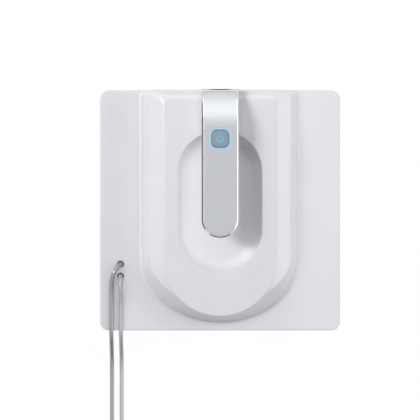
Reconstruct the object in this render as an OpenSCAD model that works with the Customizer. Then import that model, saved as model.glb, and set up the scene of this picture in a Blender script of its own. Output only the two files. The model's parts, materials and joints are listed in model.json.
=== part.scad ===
// Square window cleaning robot with a suction fan, two crawler belts, a carrying handle, a power lead
// and a safety rope. It lies on its cleaning pad: +Z points away from the glass, +Y to the handle's root.

/* [Body] */
// Side length of the square body
body_w = 231; // [226:1:238]
// Radius of the body's corners
corner_r = 8.5; // [7:0.5:11]
// Rounding of the deck's top edge
edge_r = 1.2; // [0.8:0.1:2]
// Height of the flat deck above the glass
deck_z = 24; // [23:0.5:26]
// Height of the seam between chassis and top housing
seam_z = 9.5; // [9:0.5:11]
// Height of the chassis underside above the glass
chassis_z = 5; // [4.6:0.1:5.6]
// Wall thickness of the mouldings
wall = 2.4; // [2:0.1:2.8]

/* [Hump] */
// Height of the hump's flat top above the glass
hump_z = 55; // [53:0.5:58]
// Width of the flat top
plateau_w = 106.8; // [104:0.4:110]
// Width of the hump over the outer edges of its two bevels
crest_w = 135.4; // [132:0.4:138]
// Width of the hump at its foot
foot_w = 148; // [146:0.5:152]
// Height of the bevels' outer edges
crest_z = 46; // [44:0.5:48]
// Distance from the body's front edge to the hump's foot
foot_gap = 7.2; // [6:0.2:10]
// Length of the foot's rounded end
foot_end = 61.3; // [58:0.5:64]
// Length of the flat top's rounded end
plateau_end = 54.5; // [52:0.5:56]
// Reach of the concave fillet around the foot
foot_fillet = 4.5; // [3:0.5:6]
// Rounding of the hump's top rear edge
rear_round = 12; // [9:0.5:13]

/* [Recess] */
// Width of the hand recess
recess_w = 80.8; // [76:0.4:84]
// Length of the hand recess
recess_l = 134.2; // [130:0.4:138]
// Place of the recess's centre
recess_y = 8.6; // [6:0.2:10]
// Height of the recess's floor
recess_z = 39; // [38:0.5:42]
// Width of the recess's sloping wall
recess_slope = 11.5; // [9:0.5:14]

/* [Handle] */
// Width of the handle
handle_w = 35.2; // [33:0.2:37]
// Height of the gap between the hump's top and the handle
handle_gap = 11.4; // [10:0.2:14]
// Thickness of the handle's free part
handle_t = 9.6; // [9:0.2:11]
// Place of the handle's free end
handle_end_y = -26.2; // [-30:0.2:-22]
// Place where the flat top starts to slope down to the rear
handle_knee_y = 78; // [76:0.5:82]
// Fall of the handle's top from the knee to the rear end
handle_fall = 15; // [12:0.5:16]
// Width of the polished trim around the handle's top plate
trim_w = 1.9; // [1.5:0.1:2.4]

/* [Button] */
// Place of the power button
button_y = 67.5; // [64:0.5:68]
// Outer width of the light ring
ring_w = 19.6; // [18:0.2:21]
// Width of the light ring's band
ring_band = 1.9; // [1.5:0.1:2.2]
// Corner radius of the light ring
ring_r = 7; // [6:0.5:8]
// Travel of the button
button_travel = 0.8; // [0.5:0.1:1]

/* [Pad] */
// Distance of the pad's edge from the body's side
pad_inset = 3.5; // [3:0.5:5]
// Width of the pad's band
pad_band = 26; // [24:0.5:28]
// Thickness of the pad's fibre
pad_t = 3.4; // [3:0.1:3.6]

/* [Crawlers] */
// Distance of each belt's middle from the robot's middle
track_x = 53; // [52:0.5:54]
// Distance between the two axles of a crawler
axle_gap = 114; // [110:0.5:117]
// Width of the belt
belt_w = 14; // [13:0.5:15]
// Radius of the wheels under the belt
wheel_r = 9.6; // [9.2:0.1:10]
// Thickness of the belt's band
belt_t = 2.1; // [1.8:0.1:2.4]
// Height of the belt's tread ribs
rib_h = 1; // [0.6:0.1:1.4]
// Number of tread ribs on a belt
ribs = 50; // [40:2:56]
// Radius of the axles
axle_r = 2.5; // [2.2:0.1:2.8]
// Module of the gear teeth
gear_m = 0.8; // [0.78:0.01:0.82]
// Teeth of the gear on the driven axle
gear_n = 24; // [22:1:26]
// Teeth of the motor's pinion
pinion_n = 12; // [12:1:13]

/* [Fan] */
// Radius of the impeller
fan_r = 28; // [26:0.5:30]
// Number of blades
blades = 11; // [9:1:13]
// Height of the blades
blade_h = 8; // [7:0.5:9]
// Radius of the air inlet
inlet_r = 20; // [18:0.5:22]

/* [Cords] */
// Diameter of the power lead
lead_d = 4.2; // [4:0.1:4.6]
// Diameter of the safety rope
rope_d = 4.2; // [4:0.1:4.6]
// Radius of the two cord holes in the deck
cord_hole_r = 3.15; // [3:0.05:3.4]
// Turns in each layer of the lead's coil
lead_turns = 4; // [3:1:4]
// Turns in each layer of the rope's coil
rope_turns = 5; // [4:1:5]

/* [Hidden] */

// Colours
white = [0.90, 0.90, 0.93];
grey = [0.55, 0.57, 0.60];
silver = [0.72, 0.73, 0.75];
chrome = [0.85, 0.86, 0.88];
black = [0.12, 0.12, 0.13];
blue = [0.35, 0.66, 0.88];
steel = [0.66, 0.67, 0.69];
green = [0.10, 0.35, 0.20];
brass = [0.78, 0.65, 0.35];
fibre = [0.80, 0.84, 0.90];

// Length that a cut runs past a face, gap between pieces that sit together, and roundness of bores
overrun = 1;
skin = 0.1;
fit_gap = 0.05;
fine = 64;

// Plan of the hump: legs that run to the rear edge, a rounded end towards the front
end_y = -body_w / 2 + foot_gap + foot_end;
lip = 0.9;
rear_inset = 0.4;
hump_corner_r = 6;
bevel_slope = (hump_z - crest_z) / (crest_w - plateau_w) * 2;
leg_steps = 8;
arc_steps = 24;
rear_steps = 8;
corner_steps = 3;
bevel_from = 10;
bevel_to = 48;
foot_top = 3.2;
edge_drop = 1.2;

function smooth(t) = let(u = min(1, max(0, t))) u * u * (3 - 2 * u);
function mix(a, b, t) = a + (b - a) * t;
function ellipse_r(a, b, phi) = a * b / sqrt(pow(b * cos(phi), 2) + pow(a * sin(phi), 2));
function fold(phi) = min(phi, 180 - phi);
function foot_rad(phi) = ellipse_r(foot_w / 2, foot_end, phi);
function plateau_rad(phi) = ellipse_r(plateau_w / 2, plateau_end, phi);
function bevel_width(phi) =
    mix(crest_w / 2 - plateau_w / 2, lip, smooth((fold(phi) - bevel_from) / (bevel_to - bevel_from)));
function crest_rad(phi) = plateau_rad(phi) + bevel_width(phi);
function crest_height(phi) = hump_z - bevel_slope * bevel_width(phi);
// Place of the hump's rear edge at a height, with the round-over at its top
function rear_y(z) =
    let(u = min(rear_round, max(0, z - (hump_z - rear_round))))
    body_w / 2 - rear_inset - rear_round + sqrt(rear_round * rear_round - u * u);

// Stations round the hump, counter-clockwise: [kind, share or angle]
stations = concat(
    [for (i = [0 : leg_steps]) ["right", i / leg_steps]],
    [for (i = [1 : corner_steps]) ["right_corner", 90 * i / (corner_steps + 1)]],
    [for (i = [0 : rear_steps]) ["rear", 1 - 2 * i / rear_steps]],
    [for (i = [corner_steps : -1 : 1]) ["left_corner", 90 * i / (corner_steps + 1)]],
    [for (i = [leg_steps : -1 : 0]) ["left", i / leg_steps]],
    [for (i = [arc_steps - 1 : -1 : 1]) ["end", 180 * i / arc_steps]]);

// One point of a ring. half is its half width on the legs, rad its reach at the rounded end
function ring_point(s, half, rad, z, z_end, inset = 0) =
    let(back = rear_y(z) - inset, r = max(hump_corner_r - inset, wall / 2))
    s[0] == "right" ? [half, mix(end_y, back - r, s[1]), z] :
    s[0] == "left" ? [-half, mix(end_y, back - r, s[1]), z] :
    s[0] == "right_corner" ? [half - r + r * cos(s[1]), back - r + r * sin(s[1]), z] :
    s[0] == "left_corner" ? [-half + r - r * cos(s[1]), back - r + r * sin(s[1]), z] :
    s[0] == "rear" ? [(half - r) * s[1], back, z] :
    [rad * cos(s[1]), end_y - rad * sin(s[1]), z_end];

function foot_ring(out, z) =
    [for (s = stations) ring_point(s, foot_w / 2 + out, foot_rad(s[1]) + out, z, z, -min(out, 0))];
// A ring between the foot at height z_foot and the crest, or between the crest and the plateau
function wall_ring(t, z_foot, out, drop) = [for (s = stations)
    let(phi = s[0] == "end" ? s[1] : 0, top = crest_height(phi) - drop)
    ring_point(s, mix(foot_w, crest_w, t) / 2 + out, mix(foot_rad(phi), crest_rad(phi), t) + out,
        mix(z_foot, crest_z - drop, t), mix(z_foot, top, t), max(-out, 0))];
function bevel_ring(t, out, drop) = [for (s = stations)
    let(phi = s[0] == "end" ? s[1] : 0)
    ring_point(s, mix(crest_w, plateau_w, t) / 2 + out, mix(crest_rad(phi), plateau_rad(phi), t) + out,
        mix(crest_z, hump_z, t) - drop, mix(crest_height(phi), hump_z, t) - drop, max(-out, 0))];

// Where a ray from the recess's middle at direction u meets a stadium of radius r
function stadium_reach(u, r) =
    let(h = (recess_l - recess_w) / 2, side = r / max(abs(u[0]), 0.0001))
    side * abs(u[1]) <= h ? side : h * abs(u[1]) + sqrt(max(0, r * r - pow(h * u[0], 2)));
function recess_ring(r, z) = [for (s = stations)
    let(p = ring_point(s, plateau_w / 2, plateau_rad(s[1]), hump_z, hump_z),
        d = [p[0], p[1] - recess_y], u = d / norm(d), reach = stadium_reach(u, r))
    [u[0] * reach, recess_y + u[1] * reach, z]];
// Shares of width and depth along the recess's sloping wall
slope_shares = [[0, 0.04], [0.1, 0.22], [0.24, 0.5], [0.42, 0.76], [0.66, 0.93], [1, 1]];
// Shares of the bevel's width at which it has a ring
bevel_shares = [0.3, 0.6, 0.85];

module loft(rings) {
    n = len(rings[0]);
    m = len(rings);
    points = [for (r = rings) each r];
    sides = [for (i = [0 : m - 2], j = [0 : n - 1])
        let(a = i * n + j, b = i * n + (j + 1) % n, c = b + n, d = a + n) each [[a, d, c], [a, c, b]]];
    polyhedron(points, concat([[for (j = [0 : n - 1]) j]], sides,
        [[for (j = [n - 1 : -1 : 0]) (m - 1) * n + j]]), convexity = 8);
}

module rounded_square(w, l, r) {
    square([w - 2 * r, l], center = true);
    square([w, l - 2 * r], center = true);
    for (x = [-1, 1], y = [-1, 1])
        translate([x * (w / 2 - r), y * (l / 2 - r)]) circle(r, $fn = fine);
}
module slab(w, l, r, z0, z1) {
    translate([0, 0, z0]) linear_extrude(z1 - z0) rounded_square(w, l, r);
}
// A slab whose top edge is rounded: two crossing bars and four corner posts with one profile
function soft_edge(r, e, z0, z1, steps = 4) = concat([[r, z0]],
    [for (i = [0 : steps]) let(a = 90 * i / steps) [r - e + e * cos(a), z1 - e + e * sin(a)]]);
module soft_slab(w, r, e, z0, z1) {
    edge = soft_edge(w / 2, e, z0, z1);
    post = soft_edge(r, e, z0, z1);
    for (a = [0, 90]) rotate([90, 0, a]) linear_extrude(w - 2 * r, center = true)
        polygon(concat(edge, [for (i = [len(edge) - 1 : -1 : 0]) [-edge[i][0], edge[i][1]]]));
    for (x = [-1, 1], y = [-1, 1]) translate([x * (w / 2 - r), y * (w / 2 - r), 0])
        rotate_extrude($fn = fine) polygon(concat([[0, z0]], post, [[0, z1]]));
}

module hump() {
    loft(concat(
        [recess_ring(recess_w / 2 - recess_slope + wall / 2, recess_z - wall),
         recess_ring(recess_w / 2 - recess_slope * 0.42 + wall / 2, mix(hump_z, recess_z, 0.76) - wall),
         recess_ring(recess_w / 2 - recess_slope * 0.1 + wall, mix(hump_z, recess_z, 0.22) - wall / 2),
         recess_ring(recess_w / 2 + wall, hump_z - wall)],
        [bevel_ring(1, -wall / 2, wall), bevel_ring(0, -wall, wall / 2),
         wall_ring(0, deck_z + foot_top, -wall, 0), foot_ring(-wall, deck_z - wall / 2)],
        [foot_ring(foot_fillet, deck_z - wall / 2), foot_ring(foot_fillet, deck_z + skin / 2),
         foot_ring(foot_fillet * 0.4, deck_z + foot_top * 0.28), wall_ring(0, deck_z + foot_top, 0, 0),
         wall_ring(1, deck_z + foot_top, 0, edge_drop), bevel_ring(0, -edge_drop / 2, 0)],
        [for (t = bevel_shares) bevel_ring(t, 0, 0)],
        [bevel_ring(1, edge_drop / 2, edge_drop / 4), bevel_ring(1, -edge_drop / 2, 0)],
        [recess_ring(recess_w / 2 + edge_drop / 2, hump_z)],
        [for (t = slope_shares)
            recess_ring(recess_w / 2 - recess_slope * t[0], mix(hump_z, recess_z, t[1]))]));
}

// Heights, widths and places that several pieces share
handle_z = hump_z + handle_gap + handle_t;
pad_w = body_w - 2 * pad_inset;
floor_t = 2.5;
floor_z = chassis_z + floor_t;
deck_under = deck_z - wall;
hump_back = body_w / 2 - rear_inset;
lip_h = 3;
lip_t = 1.6;
lip_gap = 0.2;
chassis_inset = 0.5;

// Screws: six join the housings, four hold the fan and four the main board
screw_r = 1.25;
screw_head_r = 2.4;
screw_head_h = 1.6;
screw_side = 9.5;
screw_end = 27;
housing_screw_l = 12;
board_screw_l = 7;
screw_places = [for (x = [-1, 1], y = [-1, 0, 1])
    [x * (body_w / 2 - screw_side), y * (body_w / 2 - screw_end)]];
boss_r = 3.4;

// Crawler: heights, places across the robot and the pinion's place in its Y-Z plane
belt_gap = 0.3;
axle_z = wheel_r + belt_gap + belt_t + rib_h;
plate_t = 2;
side_gap = 1;
gear_w = 4;
gear_gap = 0.7;
plate_in = track_x - belt_w / 2 - side_gap;
gear_x = track_x + belt_w / 2 + side_gap;
plate_out = gear_x + gear_w + gear_gap;
centre_gap = gear_m * (gear_n + pinion_n) / 2;
pinion_angle = 30;
pinion_place = [axle_gap / 2 + centre_gap * cos(pinion_angle), axle_z + centre_gap * sin(pinion_angle)];

// Slots in the chassis floor through which the belts reach the glass
slot_gap = 0.4;
slot_end = 2;
slot_in = plate_in + slot_gap;
slot_out = plate_out - slot_gap;
slot_l = axle_gap + 2 * (axle_z + slot_end);

// Edge sensors in the four corners
sensor_inset = 19.5;
sensor_places = [for (x = [-1, 1], y = [-1, 1])
    [x * (body_w / 2 - sensor_inset), y * (body_w / 2 - sensor_inset)]];
sensor_r = 4;
sensor_box = 12;
sensor_h = 4.5;

// Fan heights and radii
fan_y = 5;
fan_gap = 4;
fan_rise = 2.8;
shroud_t = 1.2;
disc_t = 1.5;
case_gap = 0.6;
fan_low = floor_z + fan_rise;
fan_top = fan_low + shroud_t + blade_h + disc_t;
case_top = fan_top + case_gap;
case_r = fan_r + fan_gap + wall;
tab_reach = case_r + screw_head_r + 2 * skin;
tab_angles = [45 : 90 : 315];
tab_places = [for (a = tab_angles) [tab_reach * cos(a), fan_y + tab_reach * sin(a)]];

// Main board and the posts under it
board_z = 28;
board_w = 72;
board_l = 44;
board_front = 47.5;
board_y = board_front - body_w / 2;
board_t = 1.6;
post_r = 3;
post_places = [for (x = [-1, 1], y = [-1, 1])
    [x * (board_w / 2 - post_r), board_y + y * (board_l / 2 - post_r)]];

// Exhaust window in the rear wall
vent_w = 88;
vent_margin = 4;
vent_z0 = deck_z + vent_margin;
vent_z1 = hump_z - rear_round - vent_margin;

// Cord holes in the deck, the pocket that joins them and the glands inside
cord_share = 0.518;
cord_x = -mix(foot_w / 2, body_w / 2, cord_share);
lead_y = -51.8;
rope_y = -63.2;
cord_places = [[cord_x, lead_y], [cord_x, rope_y]];
gland_top = 14;
gland_h = 5;
gland_wall = 1.8;
pocket_d = 0.5;
pocket_r = cord_hole_r + pocket_d * 2;

module each_place(places) { for (p = places) translate([p[0], p[1], 0]) children(); }

module top_housing() {
    inner_w = body_w - 2 * wall;
    color(white) difference() {
        union() {
            difference() {
                soft_slab(body_w, corner_r, edge_r, seam_z, deck_z);
                slab(inner_w, inner_w, corner_r - wall, seam_z - overrun, deck_under);
                translate([0, 0, seam_z]) linear_extrude(deck_z)
                    polygon([for (p = foot_ring(-wall * 1.3, 0)) [p[0], p[1]]]);
            }
            hump();
            each_place(screw_places) translate([0, 0, floor_z])
                cylinder(r = boss_r, h = deck_z - wall / 2 - floor_z, $fn = fine);
            each_place(cord_places) translate([0, 0, gland_top - gland_h])
                cylinder(r = cord_hole_r + gland_wall, h = deck_z - wall / 2 - gland_top + gland_h,
                    $fn = fine);
        }
        each_place(screw_places) cylinder(r = screw_r + fit_gap, h = floor_z + housing_screw_l, $fn = fine);
        each_place(cord_places) cylinder(r = cord_hole_r, h = deck_z + overrun, $fn = fine);
        translate([0, 0, deck_z - pocket_d]) linear_extrude(pocket_d + overrun) {
            each_place(cord_places) circle(pocket_r, $fn = fine);
            translate([cord_x - pocket_r, rope_y]) square([2 * pocket_r, lead_y - rope_y]);
        }
        translate([-vent_w / 2, hump_back - wall - overrun, vent_z0])
            cube([vent_w, wall + 2 * overrun, vent_z1 - vent_z0]);
    }
}

module base_chassis() {
    outer = body_w - 2 * chassis_inset;
    lip_w = body_w - 2 * wall - 2 * lip_gap;
    color(white) {
        difference() {
            union() {
                slab(outer, outer, corner_r - chassis_inset, chassis_z, seam_z);
                slab(lip_w, lip_w, corner_r - wall, chassis_z, seam_z + lip_h);
            }
            slab(lip_w - 2 * lip_t, lip_w - 2 * lip_t, corner_r - wall - lip_t, floor_z, seam_z + 2 * lip_h);
            translate([0, fan_y, 0]) cylinder(r = inlet_r, h = floor_z + overrun, $fn = fine);
            for (s = [-1, 1]) translate([s * (slot_in + slot_out) / 2, 0, floor_z / 2])
                cube([slot_out - slot_in, slot_l, floor_z + overrun], center = true);
            each_place(sensor_places) cylinder(r = sensor_r + fit_gap, h = floor_z + overrun, $fn = fine);
            each_place(screw_places) {
                cylinder(r = screw_r + fit_gap, h = floor_z + overrun, $fn = fine);
                cylinder(r = screw_head_r + skin, h = chassis_z + screw_head_h + skin, $fn = fine);
            }
            each_place(tab_places) translate([0, 0, floor_z - floor_t * 0.8])
                cylinder(r = screw_r + fit_gap, h = floor_t, $fn = fine);
        }
        each_place(post_places) translate([0, 0, floor_z]) difference() {
            cylinder(r = post_r, h = board_z - floor_z, $fn = fine);
            translate([0, 0, board_z - floor_z - board_screw_l])
                cylinder(r = screw_r + fit_gap, h = board_screw_l + overrun, $fn = fine);
        }
    }
}

// A screw whose head's lower face is at the bottom and whose shank points up
module screw(l) {
    difference() {
        union() {
            cylinder(r = screw_head_r, h = screw_head_h, $fn = fine);
            cylinder(r = screw_r, h = l, $fn = fine);
        }
        translate([0, 0, -overrun]) cylinder(r = screw_head_r / 2, h = overrun + screw_head_h / 2, $fn = 6);
    }
}
module screws() {
    color(steel) {
        each_place(screw_places) translate([0, 0, chassis_z + skin]) screw(housing_screw_l);
        each_place(tab_places) translate([0, 0, floor_z + wall + screw_head_h]) mirror([0, 0, 1])
            screw(screw_head_h + wall + floor_t * 0.7);
        each_place(post_places) translate([0, 0, board_z + board_t + screw_head_h]) mirror([0, 0, 1])
            screw(board_screw_l);
    }
}

// Cleaning pad and the frame that holds it
pad_corner = 10;
frame_gap = 1;
pad_hole_r = sensor_r + frame_gap;

module pad_frame() {
    outer = pad_w - 2 * frame_gap;
    inner = pad_w - 2 * pad_band + 2 * frame_gap;
    color(grey) difference() {
        slab(outer, outer, pad_corner - frame_gap, pad_t, chassis_z);
        slab(inner, inner, pad_corner, 0, floor_z);
        each_place(sensor_places) cylinder(r = pad_hole_r, h = floor_z, $fn = fine);
    }
}
module cleaning_pad() {
    inner = pad_w - 2 * pad_band;
    color(fibre) difference() {
        slab(pad_w, pad_w, pad_corner, 0, pad_t);
        slab(inner, inner, pad_corner, -overrun, pad_t + overrun);
        each_place(sensor_places) translate([0, 0, -overrun])
            cylinder(r = pad_hole_r + frame_gap, h = floor_z, $fn = fine);
    }
}
module edge_sensors() {
    color(black) each_place(sensor_places) {
        translate([0, 0, chassis_z - skin]) cylinder(r = sensor_r, h = floor_t + 2 * skin, $fn = fine);
        translate([-sensor_box / 2, -sensor_box / 2, floor_z]) cube([sensor_box, sensor_box, sensor_h]);
    }
}

// Handle: a side profile crossed with a plan that ends in a half circle
handle_rear = body_w / 2 - rear_inset / 2;
handle_under = handle_z - handle_t;
root_foot = hump_z - rear_round * 2 / 3;
arch_r = handle_under - hump_z;
root_shares = [0, 0.25, 0.5, 0.75, 0.92];
end_round = 3;
band_t = 2.4;
plate_drop = 0.2;

function handle_top(y) =
    handle_z - handle_fall * pow(max(0, y - handle_knee_y) / (handle_rear - handle_knee_y), 1.5);
function handle_top_line(drop, from, steps = 10) = concat([[from, handle_z - drop]],
    [for (i = [0 : steps]) let(y = mix(handle_knee_y, handle_rear, i / steps)) [y, handle_top(y) - drop]]);

module side_profile(points, w) {
    rotate([90, 0, 90]) linear_extrude(w, center = true) polygon(points);
}
module handle_plan(inset, rear_cut, z0, z1) {
    r = handle_w / 2 - inset;
    translate([0, 0, z0]) linear_extrude(z1 - z0) {
        translate([0, handle_end_y + handle_w / 2]) circle(r, $fn = fine);
        translate([-r, handle_end_y + handle_w / 2])
            square([2 * r, handle_rear - rear_cut - handle_end_y - handle_w / 2]);
    }
}
module handle_body() {
    root_line = concat([for (t = root_shares) let(z = mix(root_foot, hump_z, t)) [rear_y(z) + skin, z]],
        [[rear_y(hump_z), hump_z]]);
    arch = [for (a = [0 : 10 : 90]) [handle_knee_y - arch_r + arch_r * cos(a), hump_z + arch_r * sin(a)]];
    end_arc = [for (a = [0 : 15 : 90])
        [handle_end_y + end_round - end_round * sin(a), handle_under + end_round - end_round * cos(a)]];
    intersection() {
        side_profile(concat(handle_top_line(0, handle_end_y), [[handle_rear, root_foot]], root_line,
            arch, end_arc), handle_w + overrun);
        handle_plan(0, 0, hump_z - rear_round, handle_z + overrun);
    }
}
// Band of the handle's upper side between two depths under its top
module handle_band(top, bottom, inset, rear_cut) {
    line = handle_top_line(bottom, handle_end_y - overrun);
    intersection() {
        side_profile(concat(handle_top_line(top, handle_end_y - overrun),
            [for (i = [len(line) - 1 : -1 : 0]) line[i]]), handle_w + overrun);
        handle_plan(inset, rear_cut, root_foot, handle_z + overrun);
    }
}
module handle_shell() {
    color(silver) difference() {
        handle_body();
        handle_band(-overrun, band_t, -overrun, -overrun);
        translate([0, button_y, 0])
            slab(pocket_w, pocket_w, cap_r + cap_gap, handle_z - band_t - switch_room, handle_z);
    }
}
module handle_trim() {
    color(chrome) difference() {
        handle_band(0, band_t, 0, 0);
        handle_band(-overrun, band_t + overrun, trim_w, trim_w);
    }
}
module handle_plate() {
    color(silver) difference() {
        handle_band(plate_drop, band_t, trim_w + fit_gap, trim_w + fit_gap);
        translate([0, button_y, 0]) slab(ring_w + 2 * fit_gap, ring_w + 2 * fit_gap, ring_r + fit_gap,
            handle_z - 2 * band_t, handle_z + overrun);
    }
}

// Power button, its light ring and the switch below
cap_gap = 0.15;
cap_rise = 0.3;
cap_flange = 0.6;
flange_t = 0.8;
switch_room = 5;
switch_board_t = 1;
switch_w = 6;
switch_h = 1.6;
stem_r = 2;
cap_w = ring_w - 2 * ring_band - 2 * cap_gap;
cap_r = ring_r - ring_band;
pocket_w = cap_w + 2 * cap_flange + 2 * cap_gap;
switch_foot = handle_z - band_t - switch_room;
switch_top = switch_foot + switch_board_t + switch_h;

module light_ring() {
    color(blue) translate([0, button_y, 0]) difference() {
        slab(ring_w, ring_w, ring_r, handle_z - band_t, handle_z + skin);
        slab(ring_w - 2 * ring_band, ring_w - 2 * ring_band, ring_r - ring_band, handle_z - 2 * band_t,
            handle_z + overrun);
    }
}
module power_button() {
    flange_top = handle_z - band_t - cap_gap;
    stem_end = switch_top + button_travel + cap_gap;
    flange_w = cap_w + 2 * cap_flange;
    color(grey) translate([0, button_y, 0]) {
        slab(cap_w, cap_w, cap_r - cap_gap, flange_top - flange_t, handle_z + cap_rise);
        slab(flange_w, flange_w, cap_r, flange_top - flange_t, flange_top);
        translate([0, 0, stem_end]) cylinder(r = stem_r, h = flange_top - stem_end, $fn = fine);
    }
}
module button_board() {
    w = pocket_w - 2 * cap_gap;
    color(green) translate([0, button_y, 0]) slab(w, w, cap_r, switch_foot, switch_foot + switch_board_t);
    color(black) translate([-switch_w / 2, button_y - switch_w / 2, switch_foot + switch_board_t])
        cube([switch_w, switch_w, switch_h]);
}

// Exhaust grille: slats in a frame whose rim lies against the inside of the rear wall
vent_frame = 2;
vent_rim = 1.5;
vent_slats = 4;
slat_t = 1;
slat_tilt = 35;

module exhaust_grille() {
    w = vent_w - 2 * skin;
    h = vent_z1 - vent_z0 - 2 * skin;
    pitch = (h - 2 * vent_frame) / vent_slats;
    plug_front = wall / 2 - skin;
    rim_front = -wall / 2 - 1.5 * skin;
    plug_back = rim_front - wall / 2;
    color(grey) translate([0, hump_back - wall / 2, (vent_z0 + vent_z1) / 2]) {
        difference() {
            union() {
                translate([0, (plug_front + plug_back) / 2, 0])
                    cube([w, plug_front - plug_back, h], center = true);
                translate([0, plug_back, 0]) cube([w + 2 * vent_rim, wall, h + 2 * vent_rim], center = true);
            }
            cube([w - 2 * vent_frame, wall * 4, h - 2 * vent_frame], center = true);
        }
        for (i = [0 : vent_slats - 1]) translate([0, 0, (i + 0.5) * pitch - h / 2 + vent_frame])
            rotate([slat_tilt, 0, 0]) cube([w - vent_frame, wall * 0.8, slat_t], center = true);
        for (x = [-1, 1]) translate([x * w / 6, 0, 0])
            cube([slat_t, wall * 0.6, h - vent_frame], center = true);
    }
}

// Fan: a shrouded impeller that draws air out of the space inside the pad
blade_t = 1.2;
blade_from = 10;
blade_sweep = 52;
blade_steps = 6;
shaft_r = 1.5;
hub_r = 7;
windows = 10;
fan_motor_r = 14.5;
fan_motor_h = 10;

module fan_housing() {
    color(grey) difference() {
        union() {
            translate([0, fan_y, floor_z]) cylinder(r = case_r, h = case_top + wall - floor_z, $fn = fine);
            for (a = tab_angles) translate([0, fan_y, floor_z]) rotate(a) {
                translate([tab_reach, 0, 0]) cylinder(r = boss_r, h = wall, $fn = fine);
                translate([case_r - wall / 2, -boss_r, 0])
                    cube([tab_reach - case_r + wall / 2, 2 * boss_r, wall]);
            }
        }
        translate([0, fan_y, floor_z - overrun])
            cylinder(r = case_r - wall, h = case_top - floor_z + overrun, $fn = fine);
        translate([0, fan_y, floor_z]) cylinder(r = shaft_r + 2 * fit_gap, h = case_top, $fn = fine);
        for (i = [0 : windows - 1]) translate([0, fan_y, fan_low]) rotate(360 * i / windows)
            translate([case_r - 2 * wall, -case_r * 0.2, 0])
                cube([3 * wall, case_r * 0.4, blade_h + shroud_t]);
        each_place(tab_places) translate([0, 0, floor_z - overrun])
            cylinder(r = screw_r + fit_gap, h = 3 * wall, $fn = fine);
    }
}
module fan_motor() {
    color(steel) translate([0, fan_y, case_top + wall]) difference() {
        union() {
            cylinder(r = fan_motor_r, h = fan_motor_h * 0.8, $fn = fine);
            cylinder(r = fan_motor_r * 0.8, h = fan_motor_h, $fn = fine);
        }
        translate([0, 0, -overrun]) cylinder(r = shaft_r + fit_gap, h = fan_motor_h * 0.9, $fn = fine);
        for (a = [0 : 30 : 330]) rotate(a) translate([fan_motor_r, 0, fan_motor_h * 0.4])
            cube([wall, wall, fan_motor_h * 0.4], center = true);
    }
}
function blade_side(off) = [for (i = [0 : blade_steps])
    let(t = i / blade_steps, r = mix(blade_from, fan_r, t), a = -blade_sweep * t * t)
    [r * cos(a) - off * sin(a), r * sin(a) + off * cos(a)]];
module impeller() {
    back = blade_side(blade_t / 2);
    color(black) translate([0, fan_y, 0]) {
        translate([0, 0, fan_low]) difference() {
            cylinder(r = fan_r, h = shroud_t, $fn = fine);
            translate([0, 0, -overrun]) cylinder(r = inlet_r - wall, h = shroud_t + 2 * overrun, $fn = fine);
        }
        rotate_extrude($fn = fine) polygon([[shaft_r, fan_low], [hub_r * 0.5, fan_low],
            [hub_r, fan_top - 3 * disc_t], [hub_r * 2, fan_top - disc_t], [fan_r, fan_top - disc_t],
            [fan_r, fan_top], [shaft_r, fan_top]]);
        for (i = [0 : blades - 1]) rotate(360 * i / blades) translate([0, 0, fan_low + shroud_t / 2])
            linear_extrude(blade_h + shroud_t)
            polygon(concat(blade_side(-blade_t / 2), [for (k = [blade_steps : -1 : 0]) back[k]]));
    }
}
module fan_shaft() {
    color(steel) translate([0, fan_y, fan_low + fit_gap])
        cylinder(r = shaft_r - fit_gap / 5, h = case_top + wall + fan_motor_h * 0.6 - fan_low, $fn = fine);
}

// Inlet grille: rings and spokes inside the inlet, hung from a rim on the chassis floor
grille_rib = 1.2;
grille_rim = 2;
grille_hub_share = 0.22;
grille_shares = [0.74, 0.48, grille_hub_share];
module inlet_grille() {
    r = inlet_r - fit_gap;
    t = floor_t - skin;
    color(grey) translate([0, fan_y, chassis_z + skin]) {
        rotate_extrude($fn = fine) polygon([[r - grille_rib, 0], [r, 0], [r, t], [inlet_r + grille_rim, t],
            [inlet_r + grille_rim, t + grille_rib], [r - grille_rib, t + grille_rib]]);
        translate([0, 0, skin]) linear_extrude(t - 2 * skin) {
            for (k = grille_shares) difference() {
                circle(r * k, $fn = fine);
                circle(r * k - grille_rib, $fn = fine);
            }
            for (a = [0 : 60 : 300]) rotate(a)
                translate([r * grille_hub_share - grille_rib / 2, -grille_rib / 2])
                    square([r * (1 - grille_hub_share), grille_rib]);
        }
    }
}

// Battery cells lying across the robot in a tray
cell_r = 7;
cell_l = 50;
cell_gap = 0.5;
cells = 4;
cells_front = 19.5;
cells_y = cells_front - body_w / 2;
tray_wall = 1.5;
cap_h = 1;
cell_pitch = 2 * cell_r + cell_gap;

module battery_tray() {
    w = cell_l + 2 * cap_h + 2 * cell_gap;
    l = (cells - 1) * cell_pitch + 2 * cell_r + 2 * cell_gap;
    y0 = cells_y - cell_r - cell_gap;
    color(black) difference() {
        translate([-w / 2 - tray_wall, y0 - tray_wall, floor_z])
            cube([w + 2 * tray_wall, l + 2 * tray_wall, tray_wall + cell_r]);
        translate([-w / 2, y0, floor_z + tray_wall]) cube([w, l, 2 * cell_r]);
    }
}
module battery_cells() {
    for (i = [0 : cells - 1]) translate([0, cells_y + i * cell_pitch, floor_z + tray_wall + cell_r])
        rotate([0, 90, 0]) {
            color(blue) cylinder(r = cell_r, h = cell_l, center = true, $fn = fine);
            color(steel) cylinder(r = cell_r * 0.4, h = cell_l + 2 * cap_h, center = true, $fn = fine);
        }
}

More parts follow.
